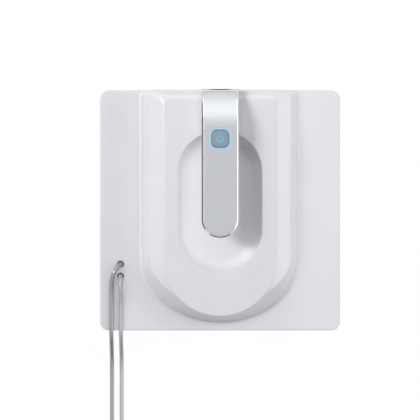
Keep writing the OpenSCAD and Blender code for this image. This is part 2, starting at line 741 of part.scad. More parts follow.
// Main board with a processor, four drivers, a connector and three capacitors
chip_w = 14;
chip_h = 1.4;
driver = [7, 5, 2];
connector = [9, 20, 6];
capacitor_r = 3.2;
capacitor_h = 7;
module main_board() {
    top = board_z + board_t;
    color(green) difference() {
        translate([-board_w / 2, board_y - board_l / 2, board_z]) cube([board_w, board_l, board_t]);
        each_place(post_places) cylinder(r = screw_r + fit_gap, h = board_z + 2 * board_t, $fn = fine);
    }
    color(black) translate([0, board_y, top]) {
        translate([-chip_w * 0.6, -chip_w / 2, 0]) cube([chip_w, chip_w, chip_h]);
        for (i = [-1.5 : 1 : 1.5]) translate([board_w * 0.16, i * driver[1] * 1.6 - driver[1] / 2, 0])
            cube(driver);
        translate([-board_w * 0.39, -connector[1] / 2, 0]) cube(connector);
    }
    color(steel) for (i = [-1 : 1]) translate([board_w * 0.36, board_y + i * 3 * capacitor_r, top])
        cylinder(r = capacitor_r, h = capacitor_h, $fn = fine);
}

// Crawlers: the right one is built, the left one mirrors it
bush_r = 4;
pinion_shaft_r = 2;
motor_r = 10;
motor_l = 25;
motor_end = 2;
rod_r = 2.5;
plate_hole_r = 3.2;
plate_edge = 1.5;
rod_shares = [-0.25, 0, 0.25];
hole_shares = [-0.375, -0.125, 0.125, 0.375];
frame_r = axle_z - floor_z;

module both(left) { mirror([left ? 1 : 0, 0, 0]) children(); }
// Puts a shape drawn in the Y-Z plane at x, so that its height runs along +X
module across(x) { translate([x, 0, 0]) rotate([90, 0, 90]) children(); }
// A flat arm between two round ends
module arm(p, rp, q, rq) {
    n = [p[1] - q[1], q[0] - p[0]] / norm(q - p);
    translate(p) circle(rp, $fn = fine);
    translate(q) circle(rq, $fn = fine);
    polygon([p + n * rp, p - n * rp, q - n * rq, q + n * rq]);
}
module frame_plate(pinion_end_r, pinion_hole_r) {
    axles = [for (s = [-1, 1]) [s * axle_gap / 2, axle_z]];
    difference() {
        union() {
            arm(axles[0], frame_r, axles[1], frame_r);
            arm(axles[1], frame_r, pinion_place, pinion_end_r);
        }
        for (p = axles) translate(p) circle(bush_r + fit_gap / 5, $fn = fine);
        translate(pinion_place) circle(pinion_hole_r, $fn = fine);
        for (k = hole_shares) translate([k * axle_gap, axle_z]) circle(plate_hole_r, $fn = fine);
    }
}
module crawler_frame(left) {
    color(grey) both(left) {
        across(plate_in - plate_t) linear_extrude(plate_t)
            frame_plate(motor_r, pinion_shaft_r + plate_edge);
        across(plate_out) linear_extrude(plate_t)
            frame_plate(bush_r + plate_edge, pinion_shaft_r + fit_gap);
        for (k = rod_shares) across(plate_in - plate_t / 2) translate([k * axle_gap, axle_z])
            cylinder(r = rod_r, h = plate_out - plate_in + plate_t, $fn = fine);
    }
}
module axle_bushes(left) {
    color(brass) both(left) for (s = [-1, 1], x = [plate_in - plate_t, plate_out])
        across(x) translate([s * axle_gap / 2, axle_z]) difference() {
            cylinder(r = bush_r, h = plate_t, $fn = fine);
            translate([0, 0, -overrun]) cylinder(r = axle_r + fit_gap, h = plate_t + 2 * overrun, $fn = fine);
        }
}

// Belt: a band with tread ribs outside and a guide rib that runs in the wheels' groove
band_in = wheel_r + belt_gap;
band_out = band_in + belt_t;
guide_h = 2;
guide_w = 3;
rib_share = 0.5;
belt_round = 2 * (axle_gap + PI * band_out);

// Point at distance s along the loop, out outwards from the band's outer face
function belt_point(s, out) =
    let(half = PI * band_out, r = band_out + out, u = s % belt_round)
    u < axle_gap ? [u - axle_gap / 2, r] :
    u < axle_gap + half ? let(a = 90 - (u - axle_gap) / half * 180) [axle_gap / 2 + r * cos(a), r * sin(a)] :
    u < 2 * axle_gap + half ? [axle_gap / 2 - (u - axle_gap - half), -r] :
    let(a = 270 - (u - 2 * axle_gap - half) / half * 180) [-axle_gap / 2 + r * cos(a), r * sin(a)];
module loop_2d(r) {
    square([axle_gap, 2 * r], center = true);
    for (s = [-1, 1]) translate([s * axle_gap / 2, 0]) circle(r, $fn = fine);
}
module crawler_belt(left) {
    pitch = belt_round / ribs;
    color(black) both(left) translate([0, 0, axle_z]) {
        across(track_x - belt_w / 2) linear_extrude(belt_w) difference() {
            polygon([for (i = [0 : ribs - 1]) each [belt_point((i + 0.02) * pitch, 0),
                belt_point((i + 0.1) * pitch, rib_h), belt_point((i + rib_share) * pitch, rib_h),
                belt_point((i + rib_share + 0.08) * pitch, 0)]]);
            loop_2d(band_in);
        }
        across(track_x - guide_w / 2) linear_extrude(guide_w) difference() {
            loop_2d(band_in + belt_t / 2);
            loop_2d(band_in - guide_h);
        }
    }
}

// Wheel profile, turned about the axle: hub, hollowed web and a rim with a groove for the guide rib
groove_d = guide_h * 1.2;
groove_w = guide_w + belt_gap * 3;
wheel_gap = 0.5;
web_d = 1.5;
chamfer = 0.4;
module wheel() {
    w = belt_w / 2 - wheel_gap;
    g = groove_w / 2;
    rotate_extrude($fn = fine) polygon([[axle_r, -w], [wheel_r * 0.48, -w], [wheel_r * 0.54, -w + web_d],
        [wheel_r * 0.64, -w + web_d], [wheel_r * 0.7, -w], [wheel_r - chamfer, -w], [wheel_r, -w + chamfer],
        [wheel_r, -g], [wheel_r - groove_d, -g], [wheel_r - groove_d, g], [wheel_r, g],
        [wheel_r, w - chamfer], [wheel_r - chamfer, w], [axle_r, w]]);
}
module crawler_wheel(left, s) {
    color(black) both(left) across(track_x) translate([s * axle_gap / 2, axle_z]) wheel();
}
module crawler_axle(left, s) {
    color(steel) both(left) across(plate_in - plate_t - side_gap) translate([s * axle_gap / 2, axle_z])
        cylinder(r = axle_r - fit_gap / 5, h = plate_out - plate_in + 2 * plate_t + 2 * side_gap, $fn = fine);
}

// Involute gear teeth
pressure = 25;
addendum_share = 0.85;
dedendum_share = 1.06;
backlash = 0.16;
flank_steps = 4;
gear_hole_r = 1.6;
function involute(a) = tan(a) * 180 / PI - a;
function polar(r, a) = [r * cos(a), r * sin(a)];
// Half the angle that a tooth fills at radius r
function tooth_half(n, r) =
    let(pitch_r = gear_m * n / 2, base_r = pitch_r * cos(pressure))
    90 / n - backlash * 90 / (PI * pitch_r) + involute(pressure) - involute(acos(min(1, base_r / r)));
function gear_points(n) =
    let(pitch_r = gear_m * n / 2, root_r = pitch_r - dedendum_share * gear_m,
        flank_r = max(pitch_r * cos(pressure), root_r), tip_r = pitch_r + addendum_share * gear_m,
        flank = [for (k = [0 : flank_steps]) mix(flank_r, tip_r, k / flank_steps)],
        // A root below the base circle runs straight in
        radii = root_r < flank_r * 0.995 ? concat([root_r], flank) : flank)
    [for (i = [0 : n - 1]) let(a = 360 * i / n) each concat(
        [for (r = radii) polar(r, a - tooth_half(n, max(r, flank_r)))],
        [for (k = [len(radii) - 1 : -1 : 0]) polar(radii[k], a + tooth_half(n, max(radii[k], flank_r)))])];

module drive_gear(left) {
    color(steel) both(left) across(gear_x) translate([axle_gap / 2, axle_z]) rotate(pinion_angle)
        difference() {
            linear_extrude(gear_w) polygon(gear_points(gear_n));
            translate([0, 0, -overrun]) cylinder(r = axle_r, h = gear_w + 2 * overrun, $fn = fine);
            for (a = [0 : 60 : 300]) rotate(a) translate([gear_m * gear_n * 0.3, 0, -overrun])
                cylinder(r = gear_hole_r, h = gear_w + 2 * overrun, $fn = fine);
        }
}
motor_shaft_in = 6;
module motor_pinion(left) {
    from = plate_in - plate_t - motor_shaft_in;
    color(steel) both(left) {
        across(gear_x) translate(pinion_place) rotate(pinion_angle + 180 + 180 / pinion_n)
            linear_extrude(gear_w) polygon(gear_points(pinion_n));
        across(from) translate(pinion_place)
            cylinder(r = pinion_shaft_r, h = plate_out + plate_t - from, $fn = fine);
    }
}
module drive_motor(left) {
    face = plate_in - plate_t;
    can_r = motor_r * 0.9;
    box_l = motor_l * 0.4;
    color(steel) both(left) difference() {
        union() {
            across(face - box_l) translate(pinion_place) cylinder(r = motor_r, h = box_l, $fn = fine);
            across(face - motor_l) translate(pinion_place)
                cylinder(r = can_r, h = motor_l - box_l / 2, $fn = fine);
            across(face - motor_l - motor_end) translate(pinion_place)
                cylinder(r = can_r * 0.4, h = 2 * motor_end, $fn = fine);
        }
        across(face - motor_shaft_in - overrun) translate(pinion_place)
            cylinder(r = pinion_shaft_r + fit_gap, h = motor_shaft_in + 2 * overrun, $fn = fine);
    }
}

// Gland that grips a cord inside its hole
module gland(p) {
    color(black) translate([p[0], p[1], gland_top - gland_h]) {
        cylinder(r = cord_hole_r - fit_gap, h = gland_h, $fn = fine);
        mirror([0, 0, 1]) cylinder(r = cord_hole_r + gland_wall, h = gland_wall / 2, $fn = fine);
    }
}

// Routes of the two cords from their glands to their coils
lead_route = [[-95.5, -51.8, 14], [-95.5, -51.8, 18], [-95.5, -51.8, 22], [-96.2, -52.6, 26.5],
    [-98.6, -55, 30], [-101, -58.8, 31.2], [-102.9, -63.4, 30.2], [-104, -69, 27.9], [-104.3, -75, 26.4],
    [-104.4, -82, 26.1], [-104.4, -95, 26.1], [-104.4, -106, 26.1], [-104.4, -112, 26.1],
    [-104.4, -117.5, 25.3], [-104.4, -122.5, 22.6], [-104.4, -127.5, 18.6], [-104.4, -133, 13.6],
    [-104.4, -139, 8.4], [-104.4, -146, 4.2], [-104.4, -154, 2.3], [-104.4, -163, 2.1],
    [-104.4, -185, 2.1], [-104.4, -210, 2.1], [-104.4, -240, 2.1], [-104.4, -245, 2.1], [-104.4, -250, 2.1]];
rope_route = [[-95.5, -63.2, 14], [-95.5, -63.2, 18], [-95.5, -63.2, 22], [-95.5, -64.4, 26.5],
    [-95.4, -67.8, 30], [-95.3, -72.4, 31.2], [-95.2, -77.4, 30.2], [-95.1, -83, 27.9],
    [-95.1, -89, 26.4], [-95.1, -96, 26.1], [-95.1, -106, 26.1], [-95.1, -112, 26.1],
    [-95.1, -117.5, 25.3], [-95.1, -122.5, 22.6], [-95.1, -127.5, 18.6], [-95.1, -133, 13.6],
    [-95.1, -139, 8.4], [-95.1, -146, 4.2], [-95.1, -154, 2.3], [-95.1, -163, 2.1],
    [-95.1, -185, 2.1], [-95.1, -210, 2.1], [-95.1, -242, 2.1], [-95.1, -247, 2.1], [-95.1, -252, 2.1]];

function unit(v) = v / norm(v);
// A tube along the points of a line, with flat ends square to it
module tube(line, d, sides) {
    n = len(line);
    turn = 180 / sides;
    rings = [for (i = [0 : n - 1])
        let(t = unit(line[min(i + 1, n - 1)] - line[max(i - 1, 0)]),
            flat = norm([t[0], t[1]]) > 0.5 ? [t[0], t[1], 0] : [0, -1, 0],
            u = unit(cross([0, 0, 1], flat)), v = cross(t, u))
        [for (k = [0 : sides - 1]) let(a = turn + 360 * k / sides)
            line[i] + d / 2 * (cos(a) * u + sin(a) * v)]];
    polyhedron([for (ring = rings) each ring], concat([[for (k = [0 : sides - 1]) k]],
        [for (i = [0 : n - 2], k = [0 : sides - 1])
            let(a = i * sides + k, b = i * sides + (k + 1) % sides, c = b + sides, d = a + sides)
            each [[a, d, c], [a, c, b]]],
        [[for (k = [sides - 1 : -1 : 0]) (n - 1) * sides + k]]), convexity = 10);
}
run_sides = 8;
coil_sides = 6;
loop_rings = 24;

// A coil: layers that spiral in and out, and climb in the half turn where the spiral reverses.
// way is 1 for counter-clockwise, and from is the angle of the first point
coil_mean_r = 25;
pitch_share = 1.12;
lead_layers = 2;
rope_layers = 4;
function most_r(d, turns) = coil_mean_r + turns * d * pitch_share / 2;
function coil_line(centre, d, turns, layers, loops, from, way) =
    let(pitch = d * pitch_share)
    [for (i = [0 : round(loops * loop_rings)])
        let(t = i / loop_rings, layer = min(layers - 1, floor(t / turns)), u = t - layer * turns,
            r = most_r(d, turns) - (layer % 2 == 0 ? u : turns - u) * pitch,
            near = round(t / turns), off = t - near * turns,
            climbing = near >= 1 && near < layers && abs(off) < 0.25,
            level = climbing ? near - 0.5 + 2 * off : layer,
            a = from + way * 360 * t)
        [centre[0] + r * cos(a), centre[1] + r * sin(a), d / 2 + level * pitch]];
// The straight way in to a coil, and the loose end that leaves it and comes down to height z
function way_in(from, way, l) = [for (t = [0, 0.5]) from + way * l * t];
function way_out(from, way, l, z, steps = 8) = [for (i = [1 : steps]) let(t = i / steps)
    [from[0] + way[0] * l * t, from[1] + way[1] * l * t, mix(from[2], z, smooth((t - 0.3) / 0.6))]];

// The lead coils to the left of its run, and the rope to the right of its own
lead_tail = 28;
rope_tail = 60;
rope_extra = 0.25;
plug_r = 5;
ferrule_r = 2.8;
lead_last = lead_route[len(lead_route) - 1];
rope_last = rope_route[len(rope_route) - 1];
lead_centre = [lead_last[0] - most_r(lead_d, lead_turns), lead_last[1] - lead_d];
rope_centre = [rope_last[0] + most_r(rope_d, rope_turns), rope_last[1] - rope_d];
lead_loops = coil_line(lead_centre, lead_d, lead_turns, lead_layers, lead_turns * lead_layers, 0, -1);
rope_loops = coil_line(rope_centre, rope_d, rope_turns, rope_layers,
    rope_turns * rope_layers + rope_extra, 180, 1);
lead_top = lead_loops[len(lead_loops) - 1];
rope_top = rope_loops[len(rope_loops) - 1];
lead_end = [lead_top[0], lead_top[1] - lead_tail, plug_r];
rope_end = [rope_top[0] + rope_tail, rope_top[1], ferrule_r];

// Least space between the turns of a coil, measured on its points
function least_gap(line, d) =
    min([for (i = [0 : len(line) - 1 - loop_rings / 2], j = [i + loop_rings / 2 : len(line) - 1])
        norm(line[i] - line[j])]) - d;
echo(lead_coil_gap = least_gap(lead_loops, lead_d), rope_coil_gap = least_gap(rope_loops, rope_d));

module lead_run() { color(steel) tube(lead_route, lead_d, run_sides); }
module rope_run() { color(steel) tube(rope_route, rope_d, run_sides); }
module lead_coil() {
    color(steel) tube(concat(way_in(lead_last, [0, -1, 0], lead_d), lead_loops,
        way_out(lead_top, [0, -1], lead_tail, plug_r)), lead_d, coil_sides);
}
module rope_coil() {
    color(steel) tube(concat(way_in(rope_last, [0, -1, 0], rope_d), rope_loops,
        way_out(rope_top, [1, 0], rope_tail, ferrule_r)), rope_d, coil_sides);
}

// A strap over the turns of a coil, with both its ends down to the floor
tie_w = 10;
tie_t = 0.9;
tie_gap = 0.8;
module coil_tie(centre, d, turns, layers, angle) {
    reach = turns * d * pitch_share / 2 + d / 2 + tie_gap;
    top = d + (layers - 1) * d * pitch_share + tie_gap;
    color(black) translate([centre[0], centre[1], 0]) rotate(angle) difference() {
        translate([coil_mean_r - reach - tie_t, -tie_w / 2, 0])
            cube([2 * reach + 2 * tie_t, tie_w, top + tie_t]);
        translate([coil_mean_r - reach, -tie_w / 2 - overrun, -overrun])
            cube([2 * reach, tie_w + 2 * overrun, top + overrun]);
    }
}
module lead_tie() { coil_tie(lead_centre, lead_d, lead_turns, lead_layers, 180); }
module rope_tie() { coil_tie(rope_centre, rope_d, rope_turns, rope_layers, 0); }

// Barrel plug, lying on its side, pointing to -Y
relief_l = 20;
plug_l = 20;
barrel_r = 2.75;
barrel_l = 9.5;
barrel_bore = 1.05;
module power_plug() {
    translate(lead_end) rotate([90, 0, 0]) {
        color(black) rotate_extrude($fn = fine) polygon([[0, 0], [lead_d * 0.6, 0], [plug_r * 0.8, relief_l],
            [plug_r, relief_l], [plug_r, relief_l + plug_l * 0.95], [plug_r * 0.9, relief_l + plug_l],
            [0, relief_l + plug_l]]);
        color(chrome) translate([0, 0, relief_l + plug_l]) difference() {
            cylinder(r = barrel_r, h = barrel_l, $fn = fine);
            translate([0, 0, barrel_l * 0.1]) cylinder(r = barrel_bore, h = barrel_l, $fn = fine);
        }
    }
}

// Carabiner, lying flat: a bent rod on a stem, with a sprung gate on a pin
ferrule_l = 14;
link_r = 2.4;
bend_r = 9.5;
side_l = 26;
stem_l = 3;
gate_r = 1.9;
gate_gap = 0.3;
pin_r = 1;
ear_r = 2.4;
ear_t = 1.4;
tongue_t = 1.5;
hinge_out = 1;
link_x = rope_end[0] + ferrule_l + stem_l + bend_r;
link_y = rope_end[1];
hinge = [link_x + hinge_out, link_y + bend_r];
gate_from = ear_r + gate_gap;
gate_to = side_l - hinge_out - gate_gap;

module rope_ferrule() {
    color(chrome) translate(rope_end) rotate([0, 90, 0]) cylinder(r = ferrule_r, h = ferrule_l, $fn = fine);
}
module bend(x, from) {
    translate([x, link_y, link_r]) rotate(from) rotate_extrude(angle = 180, $fn = fine)
        translate([bend_r, 0]) circle(link_r, $fn = fine);
}
module rod(p, r, l) { translate(p) rotate([0, 90, 0]) cylinder(r = r, h = l, $fn = fine); }
module ear_2d() {
    translate(hinge) circle(ear_r, $fn = fine);
    translate([hinge[0] - ear_r - link_r, hinge[1] - ear_r]) square([ear_r + link_r, 2 * ear_r]);
}
module carabiner() {
    color(chrome) {
        rod([rope_end[0] + ferrule_l, link_y, link_r], link_r * 0.9, stem_l + link_r);
        rod([link_x, link_y - bend_r, link_r], link_r, side_l);
        bend(link_x + side_l, -90);
        difference() {
            bend(link_x, 90);
            translate([hinge[0], hinge[1], -overrun])
                cylinder(r = gate_from, h = 2 * link_r + 2 * overrun, $fn = fine);
        }
        // Two ears that hold the gate's pin
        difference() {
            for (z = [0, 2 * link_r - ear_t]) translate([0, 0, z]) linear_extrude(ear_t) ear_2d();
            translate([hinge[0], hinge[1], -overrun])
                cylinder(r = pin_r + fit_gap / 5, h = 2 * link_r + 2 * overrun, $fn = fine);
        }
    }
}
module carabiner_gate() {
    color(chrome) difference() {
        union() {
            translate([hinge[0], hinge[1], link_r - tongue_t / 2])
                cylinder(r = ear_r, h = tongue_t, $fn = fine);
            rod([hinge[0], hinge[1], link_r], tongue_t / 2, gate_to / 2);
            rod([hinge[0] + gate_from, hinge[1], link_r], gate_r, gate_to - gate_from);
        }
        translate([hinge[0], hinge[1], -overrun])
            cylinder(r = pin_r + fit_gap, h = 2 * link_r + 2 * overrun, $fn = fine);
    }
}
module gate_pin() {
    color(steel) translate([hinge[0], hinge[1], skin])
        cylinder(r = pin_r, h = 2 * (link_r - skin), $fn = fine);
}

top_housing();
base_chassis();
pad_frame();
cleaning_pad();
handle_shell();
handle_trim();
handle_plate();
light_ring();
power_button();
button_board();
exhaust_grille();
inlet_grille();
fan_housing();
fan_motor();
impeller();
fan_shaft();
battery_tray();
battery_cells();
main_board();
edge_sensors();
screws();
crawler_frame(false);  // crawler_frame_right
crawler_frame(true);  // crawler_frame_left
axle_bushes(false);  // axle_bushes_right
axle_bushes(true);  // axle_bushes_left
crawler_belt(false);  // crawler_belt_right
crawler_belt(true);  // crawler_belt_left
drive_motor(false);  // drive_motor_right
drive_motor(true);  // drive_motor_left
motor_pinion(false);  // motor_pinion_right
motor_pinion(true);  // motor_pinion_left
crawler_wheel(false, 1);  // drive_wheel_right
crawler_wheel(true, 1);  // drive_wheel_left
crawler_axle(false, 1);  // drive_axle_right
crawler_axle(true, 1);  // drive_axle_left
drive_gear(false);  // drive_gear_right
drive_gear(true);  // drive_gear_left
crawler_wheel(false, -1);  // idler_wheel_right
crawler_wheel(true, -1);  // idler_wheel_left
crawler_axle(false, -1);  // idler_axle_right
crawler_axle(true, -1);  // idler_axle_left
gland(cord_places[0]);  // lead_gland
gland(cord_places[1]);  // rope_gland
lead_run();
lead_coil();
lead_tie();
power_plug();
rope_run();
rope_coil();
rope_tie();
rope_ferrule();
carabiner();
carabiner_gate();
gate_pin();
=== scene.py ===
"""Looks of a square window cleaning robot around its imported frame.
Metres. +Z points away from the glass, +Y to the handle's root, and the robot lies on its cleaning pad."""
import json
import math
import bmesh
import bpy
import numpy as np
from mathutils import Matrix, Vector

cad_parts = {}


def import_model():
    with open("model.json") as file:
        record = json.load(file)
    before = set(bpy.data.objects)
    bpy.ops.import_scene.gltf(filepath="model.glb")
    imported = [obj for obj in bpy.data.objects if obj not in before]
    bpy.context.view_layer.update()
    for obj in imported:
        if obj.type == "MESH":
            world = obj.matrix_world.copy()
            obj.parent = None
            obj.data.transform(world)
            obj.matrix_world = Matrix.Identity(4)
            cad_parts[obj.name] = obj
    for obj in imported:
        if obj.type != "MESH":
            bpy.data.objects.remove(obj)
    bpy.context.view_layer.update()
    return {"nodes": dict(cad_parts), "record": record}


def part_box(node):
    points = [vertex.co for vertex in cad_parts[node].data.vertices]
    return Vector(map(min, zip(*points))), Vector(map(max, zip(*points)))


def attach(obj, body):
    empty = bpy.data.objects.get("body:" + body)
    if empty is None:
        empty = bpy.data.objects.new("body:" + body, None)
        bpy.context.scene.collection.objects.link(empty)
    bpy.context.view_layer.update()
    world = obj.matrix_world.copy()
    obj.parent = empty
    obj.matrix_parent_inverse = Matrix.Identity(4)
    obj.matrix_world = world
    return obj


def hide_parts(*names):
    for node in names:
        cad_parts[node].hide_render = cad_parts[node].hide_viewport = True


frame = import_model()

# Sizes that the pieces share. The frame gives the outer ones
body_low, body_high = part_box("top_housing")
trim_low, trim_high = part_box("handle_trim")
ring_low, ring_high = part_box("light_ring")
cap_low, cap_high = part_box("power_button")
pad_low, pad_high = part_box("cleaning_pad")
BODY_W = body_high.x - body_low.x
HUMP_Z = body_high.z
HANDLE_W = trim_high.x - trim_low.x
HANDLE_Z = trim_high.z
SKIN = 0.0001
OVERRUN = 0.001


def srgb(red, green, blue):
    """A colour as a screen shows it, from 0 to 255, as the linear colour that a shader takes."""
    return [(c / 255 / 12.92 if c < 11 else ((c / 255 + 0.055) / 1.055) ** 2.4) for c in (red, green, blue)]


def mix(a, b, t):
    return a + (b - a) * t


def smooth(t):
    u = min(1.0, max(0.0, t))
    return u * u * (3 - 2 * u)


# Camera: straight above the deck, far away
DECK_Z = 0.024
CAMERA_RISE = 3.0
FRAME_PIXELS = 420
METRES_PER_PIXEL = 0.000961
ROBOT_PIXEL = (220.0, 210.2)

camera_data = bpy.data.cameras.new("camera")
camera_data.sensor_width = 36
camera_data.lens = 36 * CAMERA_RISE / (FRAME_PIXELS * METRES_PER_PIXEL)
camera_data.clip_end = 50
camera = bpy.data.objects.new("camera", camera_data)
camera.location = ((FRAME_PIXELS / 2 - ROBOT_PIXEL[0]) * METRES_PER_PIXEL,
                   (ROBOT_PIXEL[1] - FRAME_PIXELS / 2) * METRES_PER_PIXEL, DECK_Z + CAMERA_RISE)
bpy.context.collection.objects.link(camera)
bpy.context.scene.camera = camera


# Sizes of grain and the middle range of noise, which the finishes share
SLOW_GRAIN, GLOSS_GRAIN, METAL_GLOSS_GRAIN = 0.035, 0.004, 0.006
MID_NOISE = (0.3, 0.7)


class Nodes:
    """A node tree that is built node by node."""

    def __init__(self, tree):
        self.tree = tree
        tree.nodes.clear()

    def add(self, kind, settings=None, **values):
        """A new node. settings are its own properties, values its inputs, with _ for a space."""
        node = self.tree.nodes.new("ShaderNode" + kind)
        for key, value in (settings or {}).items():
            setattr(node, key, value)
        for key, value in values.items():
            socket = node.inputs[key.replace("_", " ")]
            if socket.type == "RGBA" and len(value) == 3:
                value = (*value, 1)
            socket.default_value = value
        return node

    def join(self, source, output, target, socket):
        self.tree.links.new(source.outputs[output], target.inputs[socket])

    def maths(self, operation, *inputs):
        """A sum over inputs. Each is a number, or a node with the name of its output."""
        node = self.add("Math", {"operation": operation})
        for place, value in enumerate(inputs):
            if isinstance(value, tuple):
                self.join(*value, node, place)
            else:
                node.inputs[place].default_value = value
        return node

    def vector(self, operation, source, output, value=None):
        """A vector sum over source's output and a second vector."""
        node = self.add("VectorMath", {"operation": operation})
        self.join(source, output, node, 0)
        if value is not None:
            node.inputs[1].default_value = value
        return node

    def span(self, source, output, low, high, at=(0.0, 1.0), curve="LINEAR"):
        """Source's values from at[0] to at[1], brought to the range from low to high."""
        node = self.add("MapRange", {"interpolation_type": curve},
                        From_Min=at[0], From_Max=at[1], To_Min=low, To_Max=high)
        self.join(source, output, node, "Value")
        return node

    def show(self, eye, others, out):
        """Shows one shader to the camera, mirrors and glass, and another to all other light."""
        rays = self.add("LightPath")
        both = self.maths("MAXIMUM", (rays, "Is Camera Ray"), (rays, "Is Glossy Ray"))
        both = self.maths("MAXIMUM", (both, "Value"), (rays, "Is Transmission Ray"))
        choose = self.add("MixShader")
        self.join(both, "Value", choose, 0)
        self.join(*others, choose, 1)
        self.join(*eye, choose, 2)
        self.join(choose, "Shader", out, "Surface")


class Finish(Nodes):
    """A node material round one Principled shader."""

    def __init__(self, name, **values):
        self.material = bpy.data.materials.new(name)
        self.material.use_nodes = True
        super().__init__(self.material.node_tree)
        self.shader = self.add("BsdfPrincipled", **values)
        self.out = self.add("OutputMaterial")
        self.join(self.shader, "BSDF", self.out, "Surface")

    def place(self, stretch=(1, 1, 1)):
        """Object coordinates in metres, stretched along each axis."""
        mapping = self.add("Mapping", Scale=stretch)
        self.join(self.add("TexCoord"), "Object", mapping, "Vector")
        return mapping

    def reach(self, middle_y, half):
        """Distance in X and Y from a block round (0, middle_y) with these half sides."""
        node = self.vector("SUBTRACT", self.add("TexCoord"), "Object", (0, middle_y, 0))
        node = self.vector("ABSOLUTE", node, "Vector")
        node = self.vector("SUBTRACT", node, "Vector", (*half, 1))
        return self.vector("LENGTH", self.vector("MAXIMUM", node, "Vector", (0, 0, 0)), "Vector")

    def noise(self, size, detail=3, stretch=(1, 1, 1)):
        """Noise whose grain is about size metres across."""
        node = self.add("TexNoise", Scale=1 / size, Detail=detail)
        self.join(self.place(stretch), "Vector", node, "Vector")
        return node

    def colours(self, source, output, stops):
        """A ramp of colours over source's value. stops are (place, linear colour)."""
        node = self.add("ValToRGB")
        ramp = node.color_ramp
        while len(ramp.elements) < len(stops):
            ramp.elements.new(0.5)
        for element, (place, colour) in zip(ramp.elements, stops):
            element.position = place
            element.color = (*colour, 1)
        self.join(source, output, node, "Fac")
        return node

    def tones(self, noise, colour, darker, lighter, at=MID_NOISE):
        """Noise from a darker to a lighter tone of one colour."""
        return self.colours(noise, "Fac", [(at[0], [c * darker for c in colour]),
                                           (at[1], [min(1, c * lighter) for c in colour])])

    def paint(self, source, output="Color"):
        self.join(source, output, self.shader, "Base Color")

    def gloss(self, noise, low, high):
        """Roughness that wanders from low to high."""
        self.join(self.span(noise, "Fac", low, high, MID_NOISE), "Result", self.shader, "Roughness")

    def bump(self, source, output, depth, edge=0.0):
        """Raises the surface by source's value times depth, over edges that look rounded by edge."""
        node = self.add("Bump", Strength=1.0, Distance=depth)
        self.join(source, output, node, "Height")
        if edge:
            self.join(self.add("Bevel", {"samples": 4}, Radius=edge), "Normal", node, "Normal")
        self.join(node, "Normal", self.shader, "Normal")


def moulded(name, colour, roughness, grain=0.0006, depth=0.000012, spread=0.02, edge=0.0002, **values):
    """Moulded plastic: a fine sparked grain, slow colour variation and faintly uneven gloss."""
    f = Finish(name, Roughness=roughness, **values)
    f.paint(f.tones(f.noise(SLOW_GRAIN, 2), colour, 1 - spread, 1 + spread))
    f.gloss(f.noise(GLOSS_GRAIN, 4), roughness - 0.05, roughness + 0.05)
    f.bump(f.noise(grain, 2), "Fac", depth, edge)
    return f.material


def metal(name, colour, roughness, stretch=(1, 1, 1), grain=0.0004, depth=0.000004, edge=0.00015, **values):
    """Metal with fine marks that run along the axis where stretch is small."""
    f = Finish(name, Metallic=1.0, Roughness=roughness, **values)
    marks = f.noise(grain, 3, stretch)
    f.paint(f.tones(marks, colour, 0.93, 1.05))
    f.gloss(f.noise(METAL_GLOSS_GRAIN, 3), roughness * 0.8, roughness * 1.2)
    f.bump(marks, "Fac", depth, edge)
    return f.material


def housing(name, colour, roughness=0.36, spread=0.015):
    """Glossy moulded white. Creases get painted shade, the hump's top is painted a little darker, and the
    recess is left without this painted shade.
    """
    f = Finish(name, Roughness=roughness, Coat_Weight=0.15, Coat_Roughness=0.2)
    white = f.tones(f.noise(SLOW_GRAIN, 2), colour, 1 - spread, 1 + spread)
    # Painted shade: the colour darkens in creases, where ambient occlusion is low.
    dust_and_crease_shade = f.add("AmbientOcclusion", {"samples": 8}, Distance=CREASE)
    level = f.span(dust_and_crease_shade, "AO", CREASE_SHADE, 1.0, CREASE_LIGHT)
    height = f.add("SeparateXYZ")
    f.join(f.place(), "Vector", height, 0)
    # Painted shade: the hump's flat top is a little darker than the rest of the housing.
    top = f.span(height, "Z", 1.0, TOP_SHADE, (HUMP_Z - TOP_FADE, HUMP_Z - 2 * SKIN))
    outside = f.maths("MULTIPLY", (level, "Result"), (top, "Result"))
    # The hand recess is left without the painted shade.
    reach = f.reach(RECESS_Y, (0, (RECESS_L - RECESS_W) / 2))
    inside = f.span(reach, "Value", 1.0, 0.0, (RECESS_W / 2 - RECESS_FADE, RECESS_W / 2 + RECESS_FADE))
    both = f.add("Mix", {"data_type": "FLOAT"})
    f.join(inside, "Result", both, "Factor")
    f.join(outside, "Value", both, "A")
    both.inputs["B"].default_value = RECESS_TONE
    toned = f.vector("SCALE", white, "Color")
    f.join(both, "Result", toned, "Scale")
    f.paint(toned, "Vector")
    f.gloss(f.noise(GLOSS_GRAIN, 4), roughness - 0.05, roughness + 0.05)
    f.bump(f.noise(0.0006, 2), "Fac", 0.000008, 0.0002)
    return f.material


def satin(name, colour, metallic, roughness=0.36):
    """Silver lacquer: a very fine flake grain that runs a little along the handle."""
    f = Finish(name, Metallic=metallic, Roughness=roughness, Coat_Weight=0.1, Coat_Roughness=0.3)
    flakes = f.noise(0.0003, 2, (1, 0.3, 1))
    f.paint(f.tones(flakes, colour, 0.97, 1.02, (0.35, 0.65)))
    f.bump(flakes, "Fac", 0.000002)
    return f.material


def board(name):
    """Circuit board: green lacquer over copper tracks."""
    f = Finish(name, Roughness=0.35, Coat_Weight=0.4)
    cells = f.add("TexBrick", {"offset": 0.5}, Scale=220.0, Mortar_Size=0.06, Color1=srgb(22, 92, 58),
                  Color2=srgb(28, 104, 64), Mortar=srgb(52, 132, 84))
    f.join(f.place(), "Vector", cells, "Vector")
    f.paint(cells)
    f.bump(cells, "Fac", 0.00003)
    return f.material


